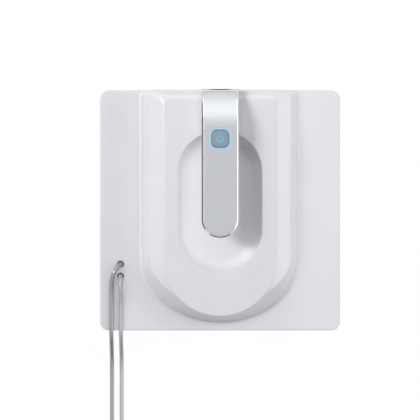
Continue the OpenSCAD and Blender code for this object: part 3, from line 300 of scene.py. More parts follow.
def fibre(name):
    """Microfibre cloth: short loops in soft rows, matt with a sheen."""
    f = Finish(name, Roughness=0.95, Sheen_Weight=0.35, Sheen_Roughness=0.5, Specular_IOR_Level=0.2)
    both = f.maths("ADD", (f.noise(0.0009, 4), "Fac"), (f.noise(0.004, 2, (1, 0.15, 1)), "Fac"))
    f.paint(f.colours(both, "Value", [(0.7, srgb(150, 172, 202)), (1.0, srgb(196, 210, 228)),
                                      (1.3, srgb(226, 233, 243))]))
    f.bump(both, "Value", 0.0004)
    return f.material


def rubber(name):
    """Black silicone rubber with dust in its pores."""
    f = Finish(name, Roughness=0.62, Specular_IOR_Level=0.4)
    dust_and_crease_shade = f.noise(0.003, 5)
    f.paint(f.colours(dust_and_crease_shade, "Fac", [(0.35, srgb(24, 24, 26)), (0.62, srgb(40, 40, 43)),
                                    (0.75, srgb(66, 65, 66))]))
    f.gloss(dust_and_crease_shade, 0.5, 0.8)
    f.bump(f.noise(0.0005, 3), "Fac", 0.00003, 0.0002)
    return f.material


def wrapped(name, light, dark, strands, pitch, roughness, depth, **values):
    """A cord's finish. Its UV map says turns round (x) and metres along (y), for the helical strands."""
    f = Finish(name, Roughness=roughness, **values)
    split = f.add("SeparateXYZ")
    f.join(f.add("UVMap", {"uv_map": "along"}), "UV", split, "Vector")
    waves = []
    for way in (1, -1):
        turns = f.maths("MULTIPLY", (split, "X"), way * strands * 2 * math.pi)
        along = f.maths("MULTIPLY_ADD", (split, "Y"), 2 * math.pi / pitch, (turns, "Value"))
        waves.append((f.maths("SINE", (along, "Value")), "Value"))
    lay = f.maths("MAXIMUM", *waves)
    f.paint(f.colours(lay, "Value", [(0.0, dark), (0.9, light)]))
    f.bump(lay, "Value", depth)
    return f.material


def glow(name):
    """Light guide lit from below: bright at its outer rim, deeper blue inside, and bright in the symbol."""
    f = Finish(name, Roughness=0.25, Emission_Strength=0.22)
    straight = RING_W / 2 - RING_R
    share = f.span(f.reach(BUTTON_Y, (straight, straight)), "Value", 0, 1, (RING_R - RING_BAND, RING_R))
    ramp = f.colours(share, "Result", [(0.0, srgb(94, 176, 202)), (0.03, srgb(88, 122, 152)),
                                       (0.4, srgb(88, 146, 184)), (0.65, srgb(134, 196, 228)),
                                       (1.0, srgb(172, 218, 242))])
    f.paint(ramp)
    f.join(ramp, "Color", f.shader, "Emission Color")
    f.bump(f.noise(0.0006, 2), "Fac", 0.00001)
    return f.material


# The light ring and the button inside it. Their place and width come from the frame
BUTTON_Y = (ring_low.y + ring_high.y) / 2
RING_W = ring_high.x - ring_low.x
RING_BAND = 0.0019
RING_R = 0.007
FLANGE_OUT = 0.0006

# The hand recess: width, length and middle
RECESS_W, RECESS_L, RECESS_Y = 0.0808, 0.1342, 0.0086

# The housing's painted shade: darker in creases over a reach and on the hump's top. The hand recess takes its
# own tone instead.
CREASE, CREASE_SHADE, CREASE_LIGHT = 0.012, 0.62, (0.3, 0.9)
TOP_SHADE, TOP_FADE = 0.955, 0.0016
RECESS_TONE, RECESS_FADE = 1.0, 0.001

# One finish for each material slot of the record
CHROME = srgb(214, 215, 218)
finishes = {
    "housing_white": housing("housing_white", srgb(228, 227, 232)),
    "chassis_white": moulded("chassis_white", srgb(222, 222, 225), 0.45, grain=0.0009, depth=0.00003),
    "handle_silver": metal("handle_silver", srgb(196, 197, 200), 0.34, (1, 0.05, 1)),
    "handle_plate": satin("handle_plate", srgb(191, 193, 197), metallic=0.55),
    "trim_chrome": metal("trim_chrome", CHROME, 0.07, depth=0.0000002, edge=0),
    "ring_light": glow("ring_light"),
    "button_face": moulded("button_face", srgb(141, 152, 164), 0.3, grain=0.0003, depth=0.000003),
    "grille_grey": moulded("grille_grey", srgb(126, 129, 134), 0.5, grain=0.0008, depth=0.00003),
    "pad_fibre": fibre("pad_fibre"),
    "pad_frame": moulded("pad_frame", srgb(150, 154, 160), 0.55, grain=0.001, depth=0.00003),
    "rubber_black": rubber("rubber_black"),
    "black_plastic": moulded("black_plastic", srgb(42, 43, 46), 0.42, spread=0.08),
    "steel": metal("steel", srgb(178, 180, 184), 0.28, (1, 1, 0.1)),
    "brass": metal("brass", srgb(196, 168, 96), 0.3),
    "board_green": board("board_green"),
    "cell_blue": moulded("cell_blue", srgb(52, 108, 168), 0.3, spread=0.05),
    "lens_dark": moulded("lens_dark", srgb(22, 22, 26), 0.12, depth=0.000002, Coat_Weight=0.6),
    "lead_silver": wrapped("lead_silver", srgb(154, 154, 157), srgb(150, 150, 153), 6, 0.011, 0.28, 0.000001,
                           Metallic=0.3, Coat_Weight=1.0, Coat_Roughness=0.12),
    "rope_silver": wrapped("rope_silver", srgb(184, 184, 187), srgb(174, 174, 177), 8, 0.008, 0.34, 0.000004,
                           Metallic=0.2, Coat_Weight=0.8, Coat_Roughness=0.16),
    "tie_black": moulded("tie_black", srgb(34, 34, 37), 0.85, grain=0.0007, depth=0.0002, spread=0.15),
    "carabiner_metal": metal("carabiner_metal", srgb(190, 192, 196), 0.22),
}


def raw(name, points, faces):
    """A new object with a mesh."""
    mesh = bpy.data.meshes.new(name)
    mesh.from_pydata([tuple(p) for p in points], [], faces)
    obj = bpy.data.objects.new(name, mesh)
    bpy.context.collection.objects.link(obj)
    return obj


def dress(obj, slot, body, stands_for, sharp):
    """Makes an object a piece of a body, with one finish, smooth faces and sharp edges over an angle."""
    mesh = obj.data
    mesh.polygons.foreach_set("use_smooth", [True] * len(mesh.polygons))
    mesh.set_sharp_from_angle(angle=math.radians(sharp))
    mesh.update()
    mesh.materials.clear()
    mesh.materials.append(finishes[slot])
    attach(obj, body)
    if stands_for:
        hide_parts(*stands_for)
    return obj


def piece(name, shape, slot, body="robot", stands_for=(), sharp=32):
    """A new piece with the points and faces of a shape."""
    return dress(raw(name, *shape), slot, body, stands_for, sharp)


def ring_faces(count, rings):
    """Quads between successive rings of count points."""
    faces = []
    for base in range(0, (rings - 1) * count, count):
        for j in range(count):
            on = (j + 1) % count
            faces.append((base + j, base + on, base + count + on, base + count + j))
    return faces


def loft(rings):
    """Points and faces of a closed skin over rings of equal count, counter-clockwise from the lowest."""
    count, last = len(rings[0]), (len(rings) - 1) * len(rings[0])
    ends = [tuple(range(count - 1, -1, -1)), tuple(range(last, last + count))]
    return [p for r in rings for p in r], ring_faces(count, len(rings)) + ends


def hoop(rings):
    """Points and faces of a band whose last ring is joined to its first."""
    count, last = len(rings[0]), (len(rings) - 1) * len(rings[0])
    seam = [(last + j, last + (j + 1) % count, (j + 1) % count, j) for j in range(count)]
    return [p for r in rings for p in r], ring_faces(count, len(rings)) + seam


def combine(obj, name, shape, operation="DIFFERENCE"):
    """obj cut by, or joined with, a helper shape."""
    tool = raw(name, *shape)
    change = obj.modifiers.new(operation.lower(), "BOOLEAN")
    change.operation = operation
    change.solver = "EXACT"
    change.object = tool
    made = bpy.data.meshes.new_from_object(obj.evaluated_get(bpy.context.evaluated_depsgraph_get()))
    obj.modifiers.clear()
    old = obj.data
    obj.data = made
    made.name = obj.name
    bpy.data.meshes.remove(old)
    bpy.data.objects.remove(tool)


def bend(start, at, end, count):
    """Points of a curve between two places. It leaves and arrives along the lines to a third, at."""
    start, at, end = (np.asarray(p, float) for p in (start, at, end))
    return [tuple((1 - t) ** 2 * start + 2 * t * (1 - t) * at + t * t * end)
            for t in np.linspace(0, 1, count)]


def quarter(steps):
    """Cosines and sines from 0 to 90 degrees."""
    return [(math.cos(a), math.sin(a)) for a in (math.radians(90 * k / steps) for k in range(steps + 1))]


def rounded_square(w, l, r, z, y=0.0, steps=10):
    """A rounded rectangle, counter-clockwise."""
    ring = []
    for k, (sx, sy) in enumerate(((1, 1), (-1, 1), (-1, -1), (1, -1))):
        for i in range(steps + 1):
            a = math.radians(90 * (k + i / steps))
            ring.append((sx * (w / 2 - r) + r * math.cos(a), y + sy * (l / 2 - r) + r * math.sin(a), z))
    return ring


# Cords. The route's points are those of the construction, in metres
LEAD_D = 0.0042
ROPE_D = 0.0042
LEAD_ROUTE = [
    (-0.0955, -0.0518, 0.014), (-0.0955, -0.0518, 0.018), (-0.0955, -0.0518, 0.022),
    (-0.0962, -0.0526, 0.0265), (-0.0986, -0.055, 0.030), (-0.101, -0.0588, 0.0312),
    (-0.1029, -0.0634, 0.0302), (-0.104, -0.069, 0.0279), (-0.1043, -0.075, 0.0264),
    (-0.1044, -0.082, 0.0261), (-0.1044, -0.095, 0.0261), (-0.1044, -0.106, 0.0261),
    (-0.1044, -0.112, 0.0261), (-0.1044, -0.1175, 0.0253), (-0.1044, -0.1225, 0.0226),
    (-0.1044, -0.1275, 0.0186), (-0.1044, -0.133, 0.0136), (-0.1044, -0.139, 0.0084),
    (-0.1044, -0.146, 0.0042), (-0.1044, -0.154, 0.0023), (-0.1044, -0.163, 0.0021),
    (-0.1044, -0.185, 0.0021), (-0.1044, -0.210, 0.0021), (-0.1044, -0.240, 0.0021),
    (-0.1044, -0.245, 0.0021), (-0.1044, -0.250, 0.0021)]
ROPE_ROUTE = [
    (-0.0955, -0.0632, 0.014), (-0.0955, -0.0632, 0.018), (-0.0955, -0.0632, 0.022),
    (-0.0955, -0.0644, 0.0265), (-0.0954, -0.0678, 0.030), (-0.0953, -0.0724, 0.0312),
    (-0.0952, -0.0774, 0.0302), (-0.0951, -0.083, 0.0279), (-0.0951, -0.089, 0.0264),
    (-0.0951, -0.096, 0.0261), (-0.0951, -0.106, 0.0261), (-0.0951, -0.112, 0.0261),
    (-0.0951, -0.1175, 0.0253), (-0.0951, -0.1225, 0.0226), (-0.0951, -0.1275, 0.0186),
    (-0.0951, -0.133, 0.0136), (-0.0951, -0.139, 0.0084), (-0.0951, -0.146, 0.0042),
    (-0.0951, -0.154, 0.0023), (-0.0951, -0.163, 0.0021), (-0.0951, -0.185, 0.0021),
    (-0.0951, -0.210, 0.0021), (-0.0951, -0.242, 0.0021), (-0.0951, -0.247, 0.0021),
    (-0.0951, -0.252, 0.0021)]
COIL_MEAN_R = 0.025
PITCH_SHARE = 1.12
LOOP_RINGS = 48
LEAD_TURNS, LEAD_LAYERS, LEAD_TAIL, PLUG_R = 4, 2, 0.028, 0.005
ROPE_TURNS, ROPE_LAYERS, ROPE_TAIL, FERRULE_R, ROPE_EXTRA = 5, 4, 0.060, 0.0028, 0.25


def spline(points, step):
    """A smooth line through points, with a point about every step metres."""
    p = [np.asarray(q, float) for q in points]
    p = [2 * p[0] - p[1], *p, 2 * p[-1] - p[-2]]
    line = []
    for a, b, c, d in zip(p, p[1:], p[2:], p[3:]):
        count = max(1, round(np.linalg.norm(c - b) / step))
        for i in range(count):
            t = i / count
            line.append(0.5 * (2 * b + (c - a) * t + (2 * a - 5 * b + 4 * c - d) * t * t
                               + (3 * b - 3 * c + d - a) * t ** 3))
    line.append(p[-2])
    return line


def outer_radius(d, turns):
    return COIL_MEAN_R + turns * d * PITCH_SHARE / 2


def coil_line(centre, d, turns, layers, loops, start, way):
    """Loops that spiral in and out, and climb a layer in the half turn where the spiral reverses."""
    pitch, most = d * PITCH_SHARE, outer_radius(d, turns)
    line = []
    for i in range(round(loops * LOOP_RINGS) + 1):
        t = i / LOOP_RINGS
        layer = min(layers - 1, int(t / turns + 1e-9))
        u = t - layer * turns
        r = most - (u if layer % 2 == 0 else turns - u) * pitch
        near = round(t / turns)
        off = t - near * turns
        climbing = 1 <= near < layers and abs(off) < 0.25
        level = near - 0.5 + 2 * off if climbing else layer
        a = math.radians(start + way * 360 * t)
        x, y = centre[0] + r * math.cos(a), centre[1] + r * math.sin(a)
        line.append(np.array((x, y, d / 2 + level * pitch)))
    return line


def way_out(start, way, length, z, steps=16):
    """The loose end of a coil, which comes down to height z."""
    line = []
    for i in range(1, steps + 1):
        t = i / steps
        line.append(np.array((start[0] + way[0] * length * t, start[1] + way[1] * length * t,
                              mix(start[2], z, smooth((t - 0.3) / 0.6)))))
    return line


def tube(name, line, d, slot, stands_for, sides=14):
    """A round tube along a line, with its turns round and metres along in a UV map."""
    line = np.array(line)
    tangent = np.gradient(line, axis=0)
    tangent /= np.linalg.norm(tangent, axis=1)[:, None]
    across = np.cross(tangent[0], (1, 0, 0))
    along = np.concatenate([[0], np.cumsum(np.linalg.norm(np.diff(line, axis=0), axis=1))])
    rings = []
    for p, t in zip(line, tangent):
        across = across - t * across.dot(t)
        across /= np.linalg.norm(across)
        up = np.cross(t, across)
        rings.append([p + d / 2 * (math.cos(a) * across + math.sin(a) * up)
                      for a in (2 * math.pi * k / sides for k in range(sides))])
    obj = piece(name, loft(rings), slot, stands_for=stands_for, sharp=60)
    uv = obj.data.uv_layers.new(name="along")
    for face in obj.data.polygons:
        turn = min(v % sides for v in face.vertices) if len(face.vertices) == 4 else 0
        seam = len(face.vertices) == 4 and {v % sides for v in face.vertices} == {0, sides - 1}
        for k, v in zip(face.loop_indices, face.vertices):
            side = v % sides
            if seam and side == 0:
                side = sides
            uv.data[k].uv = (side / sides, along[v // sides])
    return obj


lead_last, rope_last = np.array(LEAD_ROUTE[-1]), np.array(ROPE_ROUTE[-1])
lead_most, rope_most = outer_radius(LEAD_D, LEAD_TURNS), outer_radius(ROPE_D, ROPE_TURNS)
lead_loops = coil_line((lead_last[0] - lead_most, lead_last[1] - LEAD_D), LEAD_D, LEAD_TURNS, LEAD_LAYERS,
                       LEAD_TURNS * LEAD_LAYERS, 0, -1)
rope_loops = coil_line((rope_last[0] + rope_most, rope_last[1] - ROPE_D), ROPE_D, ROPE_TURNS, ROPE_LAYERS,
                       ROPE_TURNS * ROPE_LAYERS + ROPE_EXTRA, 180, 1)
CORD_STEP = 0.0025
lead_line = spline(LEAD_ROUTE, CORD_STEP) + [lead_last + (0, -LEAD_D / 2, 0)] + lead_loops
lead_line += way_out(lead_loops[-1], (0, -1), LEAD_TAIL, PLUG_R)
rope_line = spline(ROPE_ROUTE, CORD_STEP) + [rope_last + (0, -ROPE_D / 2, 0)] + rope_loops
rope_line += way_out(rope_loops[-1], (1, 0), ROPE_TAIL, FERRULE_R)

power_lead = tube("power_lead", lead_line, LEAD_D, "lead_silver", ("lead_run", "lead_coil"))
safety_rope = tube("safety_rope", rope_line, ROPE_D, "rope_silver", ("rope_run", "rope_coil"))

# Top housing: a lid with rounded edges, and a hump with a hand recess lofted over it
EDGE_R = 0.0012
CORNER_R = 0.0085
SEAM_Z = 0.0095
WALL = 0.0024
PLATEAU_W, CREST_W, FOOT_W = 0.1068, 0.1354, 0.148
CREST_Z = 0.046
FOOT_GAP, FOOT_END, PLATEAU_END = 0.0085, 0.0613, 0.0545
FOOT_FILLET, FOOT_TOP = 0.0045, 0.0032
REAR_ROUND, REAR_INSET, HUMP_CORNER_R = 0.012, 0.0004, 0.006
LIP = 0.0009
RECESS_Z, RECESS_SLOPE = 0.039, 0.0115
END_Y = -BODY_W / 2 + FOOT_GAP + FOOT_END
BEVEL_TURN = 46
BEVEL_SLOPE = (HUMP_Z - CREST_Z) / (CREST_W - PLATEAU_W) * 2
# The recess's slope: shares of its width with their shares of its depth, and where rings lie
SLOPE_SHARES = [(0, 0.0), (0.03, 0.3), (0.07, 0.48), (0.15, 0.64), (0.3, 0.8), (0.52, 0.925), (0.78, 0.985),
                (1, 1)]
FIRST_SLOPE = 0.03
SLOPE_STEPS = (0.055, 0.08, 0.12, 0.17, 0.23, 0.3, 0.38, 0.47, 0.57, 0.68, 0.79, 0.9, 1.0)
INNER_LOW, INNER_HIGH = (0.42, 0.76), (0.1, 0.22)
WALL_STEPS = (0.3, 0.6, 0.82)
FILLET_RINGS = 9
CREST_ROUND, LIP_ROUND = (0.0012, 0.0009, 4), (0.0008, 0.0007, 3)
HUMP_OPENING, CUT_TOP = WALL * 1.3, DECK_Z + 0.01
VENT_W, VENT_R, VENT_MARGIN, VENT_CUT = 0.088, 0.0015, 0.004, (0.002, -0.004)
CORD_HOLE_R, POCKET_DEPTH = 0.00315, 0.0005
POCKET_R = CORD_HOLE_R + 2 * POCKET_DEPTH
HUMP_BACK = BODY_W / 2 - REAR_INSET
PLATEAU_EASE = 0.09
BEVEL_STEPS = (0.14, 0.26, 0.38, 0.5, 0.6, 0.7, 0.78, 0.85, 0.91, 0.95, 0.98, 1.0, 1.02, 1.045, 1.07, 1.09)


def stations(legs=26, arc=84, corners=8, rear=14):
    """Places round the hump, counter-clockwise: a side, with its share or angle."""
    return ([("right", i / legs) for i in range(legs + 1)]
            + [("right_corner", 90 * i / (corners + 1)) for i in range(1, corners + 1)]
            + [("rear", 1 - 2 * i / rear) for i in range(rear + 1)]
            + [("left_corner", 90 * i / (corners + 1)) for i in range(corners, 0, -1)]
            + [("left", i / legs) for i in range(legs, -1, -1)]
            + [("end", 180 * i / arc) for i in range(arc - 1, 0, -1)])


def ellipse(a, b, phi):
    c, s = math.cos(math.radians(phi)), math.sin(math.radians(phi))
    return a * b / math.hypot(b * c, a * s)


def rear_y(z):
    u = min(REAR_ROUND, max(0, z - (HUMP_Z - REAR_ROUND)))
    return HUMP_BACK - REAR_ROUND + math.sqrt(REAR_ROUND ** 2 - u * u)


def foot_rad(phi):
    return ellipse(FOOT_W / 2, FOOT_END, phi)


def plateau_rad(phi):
    return ellipse(PLATEAU_W / 2, PLATEAU_END, phi)


def bevel_width(phi):
    fold = min(phi, 180 - phi)
    return mix((CREST_W - PLATEAU_W) / 2, LIP, smooth(fold / BEVEL_TURN))


def ring_point(station, half, rad, z, z_end, inset=0.0):
    """One point of a ring: half is its half width on the legs, rad its reach at the rounded end."""
    side, v = station
    back, r = rear_y(z) - inset, max(HUMP_CORNER_R - inset, WALL / 2)
    if side in ("right", "left"):
        return (half if side == "right" else -half, mix(END_Y, back - r, v), z)
    if side in ("right_corner", "left_corner"):
        a = math.radians(v)
        x = half - r + r * math.cos(a)
        return (x if side == "right_corner" else -x, back - r + r * math.sin(a), z)
    if side == "rear":
        return ((half - r) * v, back, z)
    a = math.radians(v)
    return (rad * math.cos(a), END_Y - rad * math.sin(a), z_end)


STATIONS = stations()


def end_angle(station):
    return station[1] if station[0] == "end" else 0


def foot_ring(out, z):
    return [ring_point(s, FOOT_W / 2 + out, foot_rad(end_angle(s)) + out, z, z, max(-out, 0))
            for s in STATIONS]


def wall_ring(t, z_foot, out=0.0, drop=0.0):
    ring = []
    for s in STATIONS:
        phi = end_angle(s)
        crest = plateau_rad(phi) + bevel_width(phi)
        top = HUMP_Z - BEVEL_SLOPE * bevel_width(phi) - drop
        ring.append(ring_point(s, mix(FOOT_W, CREST_W, t) / 2 + out, mix(foot_rad(phi), crest, t) + out,
                               mix(z_foot, CREST_Z - drop, t), mix(z_foot, top, t), max(-out, 0)))
    return ring


def bevel_ring(t, out=0.0, drop=0.0, ease=0.0):
    """A ring on the bevel, from the crest at 0 to the plateau at 1. ease softens the plateau's edge."""
    ring = []
    left = 1 - t
    if ease and abs(left) < ease:
        fall = (left + ease) ** 2 / (4 * ease)
    else:
        fall = max(0.0, left)
    for s in STATIONS:
        phi = end_angle(s)
        w = bevel_width(phi)
        ring.append(ring_point(s, mix(CREST_W, PLATEAU_W, t) / 2 + out, plateau_rad(phi) + w * left + out,
                               HUMP_Z - (HUMP_Z - CREST_Z) * fall - drop,
                               HUMP_Z - BEVEL_SLOPE * w * fall - drop, max(-out, 0)))
    return ring


def recess_ring(r, z):
    """A stadium round the recess's middle, with its points in the directions of the plateau's."""
    h = (RECESS_L - RECESS_W) / 2
    ring = []
    for p in bevel_ring(1):
        d = Vector((p[0], p[1] - RECESS_Y)).normalized()
        side = r / max(abs(d.x), 0.0001)
        reach = side if side * abs(d.y) <= h else h * abs(d.y) + math.sqrt(max(0, r * r - (h * d.x) ** 2))
        ring.append((d.x * reach, RECESS_Y + d.y * reach, z))
    return ring


def rounded(before, at, after, back, on, steps, limit=0.45):
    """Rings that round the edge at a ring, from back metres before it to on metres after it."""
    made = [[] for _ in range(steps + 1)]
    for a, b, c in zip(*(np.array(ring, float) for ring in (before, at, after))):
        ends = []
        for other, reach in ((a, back), (c, on)):
            length = np.linalg.norm(other - b)
            ends.append(b + (other - b) / length * min(reach, length * limit))
        for ring, p in zip(made, bend(ends[0], b, ends[1], steps + 1)):
            ring.append(p)
    return made


def slope_depth(w):
    """Share of the recess's depth at a share of its slope, by a smooth curve through the shares."""
    xs, ys = zip(*SLOPE_SHARES)
    k = max(i for i in range(len(xs) - 1) if xs[i] <= w + 1e-9)
    rise = [(ys[i + 1] - ys[i]) / (xs[i + 1] - xs[i]) for i in range(len(xs) - 1)]
    lean = [rise[0]] + [2 * a * b / (a + b) for a, b in zip(rise, rise[1:])] + [0.0]
    h = xs[k + 1] - xs[k]
    t = (w - xs[k]) / h
    return ((2 * t ** 3 - 3 * t * t + 1) * ys[k] + (t ** 3 - 2 * t * t + t) * h * lean[k]
            + (3 * t * t - 2 * t ** 3) * ys[k + 1] + (t ** 3 - t * t) * h * lean[k + 1])


def slope_ring(w, depth, out=0.0, drop=0.0):
    """A ring at shares of the recess's slope and depth."""
    return recess_ring(RECESS_W / 2 - RECESS_SLOPE * w + out, mix(HUMP_Z, RECESS_Z, depth) - drop)


def hump():
    """The hump as a closed shell, from the underside of the recess's floor round to the floor itself."""
    inner = [slope_ring(1, 1, WALL / 2, WALL), slope_ring(*INNER_LOW, WALL / 2, WALL),
             slope_ring(*INNER_HIGH, WALL, WALL / 2), slope_ring(0, 0, WALL, WALL),
             bevel_ring(1, -WALL / 2, WALL), bevel_ring(0, -WALL, WALL / 2),
             wall_ring(0, DECK_Z + FOOT_TOP, -WALL), foot_ring(-WALL, DECK_Z - WALL / 2),
             foot_ring(FOOT_FILLET, DECK_Z - WALL / 2)]
    flat = foot_ring(FOOT_FILLET, DECK_Z + SKIN / 5)
    foot, crest = wall_ring(0, DECK_Z + FOOT_TOP), bevel_ring(0)
    fillet = [[] for _ in range(FILLET_RINGS)]
    for out, p, q in zip(flat, foot, crest):
        t = (DECK_Z - p[2]) / (q[2] - p[2])
        sunk = (mix(p[0], q[0], t), mix(p[1], q[1], t), DECK_Z + SKIN / 5)
        for ring, point in zip(fillet, bend(out, sunk, p, FILLET_RINGS)):
            ring.append(point)
    walls = [wall_ring(t, DECK_Z + FOOT_TOP) for t in WALL_STEPS]
    crest_edge = rounded(foot, crest, bevel_ring(BEVEL_STEPS[0]), *CREST_ROUND)
    bevels = [bevel_ring(t, ease=PLATEAU_EASE) for t in BEVEL_STEPS]
    first_slope = slope_ring(FIRST_SLOPE, slope_depth(FIRST_SLOPE))
    lip = rounded(bevels[-1], slope_ring(0, 0), first_slope, *LIP_ROUND, limit=0.9)
    slope = [slope_ring(w, slope_depth(w)) for w in SLOPE_STEPS]
    return loft(inner + fillet + walls + crest_edge + bevels + lip + slope)


def prism(outline, z0, z1):
    """A closed prism over a flat outline."""
    return loft([[(p[0], p[1], z0) for p in outline], [(p[0], p[1], z1) for p in outline]])


def disc(x, y, r, steps=48):
    angles = [2 * math.pi * k / steps for k in range(steps)]
    return [(x + r * math.cos(a), y + r * math.sin(a)) for a in angles]


def obround(a, b, r, steps=24):
    """Outline of a slot with round ends between two places on a line along Y, a nearer to +Y."""
    return [(p[0] + r * math.cos(t), p[1] + r * math.sin(t)) for p, start in ((a, 0), (b, math.pi))
            for t in np.linspace(start, start + math.pi, steps + 1)]


def lid():
    """The flat part of the housing: a square shell with rounded top edges, open below."""
    outer = [rounded_square(BODY_W, BODY_W, CORNER_R, SEAM_Z)]
    for c, s in quarter(6):
        inset = EDGE_R * (1 - c)
        outer.append(rounded_square(BODY_W - 2 * inset, BODY_W - 2 * inset, CORNER_R - inset,
                                    DECK_Z - EDGE_R + EDGE_R * s))
    w = BODY_W - 2 * WALL
    inner = [rounded_square(w, w, CORNER_R - WALL, z) for z in (DECK_Z - WALL, SEAM_Z)]
    return loft(inner + outer)


def top_housing():
    shell = raw("top_housing_shell", *lid())
    combine(shell, "hump_opening", prism(foot_ring(-HUMP_OPENING, 0), SEAM_Z, CUT_TOP))
    combine(shell, "hump_shell", hump(), "UNION")
    holes = [LEAD_ROUTE[0][:2], ROPE_ROUTE[0][:2]]
    combine(shell, "cord_pocket", prism(obround(*holes, POCKET_R), DECK_Z - POCKET_DEPTH, CUT_TOP))
    for x, y in holes:
        combine(shell, "cord_hole", prism(disc(x, y, CORD_HOLE_R), SEAM_Z, CUT_TOP))
    z0, z1 = DECK_Z + VENT_MARGIN, HUMP_Z - REAR_ROUND - VENT_MARGIN
    window = rounded_square(VENT_W, z1 - z0, VENT_R, 0, (z0 + z1) / 2)
    combine(shell, "vent_window", loft([[(x, HUMP_BACK + d, z) for x, z, _ in window] for d in VENT_CUT]))
    shell.name = "top_housing_skin"
    dress(shell, "housing_white", "robot", ("top_housing",), 38)
    level = shell.modifiers.new("level", "WEIGHTED_NORMAL")
    level.keep_sharp = True


top_housing()

# Handle: rings that follow its plan, from the underside round to the flat top
HANDLE_GAP, HANDLE_T = 0.0114, 0.0096
HANDLE_END_Y = trim_low.y
HANDLE_REAR = trim_high.y
KNEE_Y, HANDLE_FALL, HANDLE_CURVE = 0.078, 0.015, 1.5
ARCH_Y = KNEE_Y - HANDLE_GAP
TRIM_W, BAND_T, PLATE_DROP = 0.0019, 0.0024, 0.0002
UNDER_ROUND, ROUND_FADE = 0.0032, 0.006
PLATE_EASE = 0.0004
POCKET_D = 0.005
NOSE_STEPS = 40
TRIM_PROFILE = [(0, 0.0015), (0.00003, 0.00126), (0.0001, 0.00112), (0.0004, 0.00086), (0.0008, 0.00052),
                (0.0012, 0.00018), (0.00133, 0.00009), (0.00145, 0.00004), (0.0016, 0.00001), (TRIM_W, 0)]
HANDLE_UNDER = HANDLE_Z - HANDLE_T


def handle_top(y):
    return HANDLE_Z - HANDLE_FALL * (max(0.0, y - KNEE_Y) / (HANDLE_REAR - KNEE_Y)) ** HANDLE_CURVE


def handle_seat(y):
    """Height of the shell's top, which the trim and the plate lie on."""
    return handle_top(y) - BAND_T


def handle_base(y):
    return handle_seat(y) + SKIN / 5


def handle_under(y):
    """Height of the handle's underside: flat, then an arch down to the hump, then along the hump's back."""
    if y <= ARCH_Y:
        return HANDLE_UNDER
    if y < KNEE_Y:
        return HUMP_Z + math.sqrt(max(0.0, HANDLE_GAP ** 2 - (y - ARCH_Y) ** 2))
    knee = HUMP_BACK - REAR_ROUND
    if y <= knee:
        return HUMP_Z + SKIN
    return HUMP_Z - REAR_ROUND + math.sqrt(max(0.0, REAR_ROUND ** 2 - (y - knee) ** 2)) + SKIN


def handle_stations(front=16, arch=10, rear=24):
    """Places along the handle's straight sides, from the rear to where its round end starts."""
    start = HANDLE_END_Y + HANDLE_W / 2
    ys = [mix(start, ARCH_Y, k / front) for k in range(front)]
    ys += [ARCH_Y + HANDLE_GAP * s for _, s in quarter(arch)]
    ys += [mix(KNEE_Y, HANDLE_REAR, k / rear) for k in range(1, rear + 1)]
    return sorted(ys, reverse=True)


HANDLE_YS = handle_stations()


def handle_ring(inset, height, rear_cut=0.0):
    """The handle's outline drawn in by inset, at the height that a function of y gives."""
    r, yc = HANDLE_W / 2 - inset, HANDLE_END_Y + HANDLE_W / 2
    side = [(r, min(y, HANDLE_REAR - rear_cut)) for y in HANDLE_YS]
    angles = [math.pi * k / NOSE_STEPS for k in range(1, NOSE_STEPS)]
    nose = [(r * math.cos(a), yc - r * math.sin(a)) for a in angles]
    outline = side + nose + [(-x, y) for x, y in reversed(side)]
    return [(x, y, height(y)) for x, y in reversed(outline)]


def strips(count, base, up):
    """Faces that close a ring of the handle by strips from side to side, with a triangle at its nose."""
    last = base + count - 1
    faces = [(base + i, base + i + 1, last - 1 - i, last - i) for i in range(count // 2 - 1)]
    nose = base + count // 2
    faces.append((nose - 1, nose, nose + 1))
    return faces if up else [f[::-1] for f in faces]


def handle_skin(rings):
    """A closed skin over rings of the handle, lowest first, with strips across both ends."""
    count = len(rings[0])
    faces = strips(count, 0, False) + strips(count, (len(rings) - 1) * count, True)
    return [p for r in rings for p in r], ring_faces(count, len(rings)) + faces


def handle_shell():
    rings = []
    for c, s in quarter(6):
        rings.append(handle_ring(UNDER_ROUND * (1 - s), lambda y, c=c: min(
            handle_under(y) + UNDER_ROUND * (1 - c) * smooth((KNEE_Y - y) / ROUND_FADE),
            handle_seat(y) - SKIN)))
    rings.append(handle_ring(0, handle_seat))
    obj = raw("handle_shell_skin", *handle_skin(rings))
    w = RING_W - 2 * RING_BAND + 2 * FLANGE_OUT
    pocket = rounded_square(w, w, RING_R - RING_BAND, 0, BUTTON_Y)
    combine(obj, "button_pocket", prism(pocket, HANDLE_Z - BAND_T - POCKET_D, HANDLE_Z + OVERRUN))
    dress(obj, "handle_silver", "robot", ("handle_shell",), 35)


def handle_trim():
    """A polished bead round the top plate, proud of it by a little."""
    rings = [handle_ring(0, handle_base)]
    for inset, drop in TRIM_PROFILE:
        rings.append(handle_ring(inset, lambda y, d=drop: handle_top(y) - d, inset))
    rings.append(handle_ring(TRIM_W, handle_base, TRIM_W))
    piece("handle_trim_bead", hoop(rings), "trim_chrome", stands_for=("handle_trim",), sharp=50)


def handle_plate():
    """The flat top, with an eased edge and a hole for the light ring."""
    inset, top = TRIM_W + SKIN, lambda y: handle_top(y) - PLATE_DROP
    rings = [handle_ring(inset, handle_base, inset)]
    for c, s in quarter(3):
        draw = inset + PLATE_EASE * (1 - c)
        rings.append(handle_ring(draw, lambda y, s=s: top(y) - PLATE_EASE * (1 - s), draw))
    rings.append(handle_ring(inset + 2 * PLATE_EASE, top, inset + 2 * PLATE_EASE))
    obj = raw("handle_plate_skin", *handle_skin(rings))
    w = RING_W + SKIN
    hole = rounded_square(w, w, RING_R + SKIN / 2, 0, BUTTON_Y, 16)
    combine(obj, "ring_hole", prism(hole, HANDLE_Z - 2 * BAND_T, HANDLE_Z + OVERRUN))
    dress(obj, "handle_plate", "robot", ("handle_plate",), 35)


handle_shell()
handle_trim()
handle_plate()

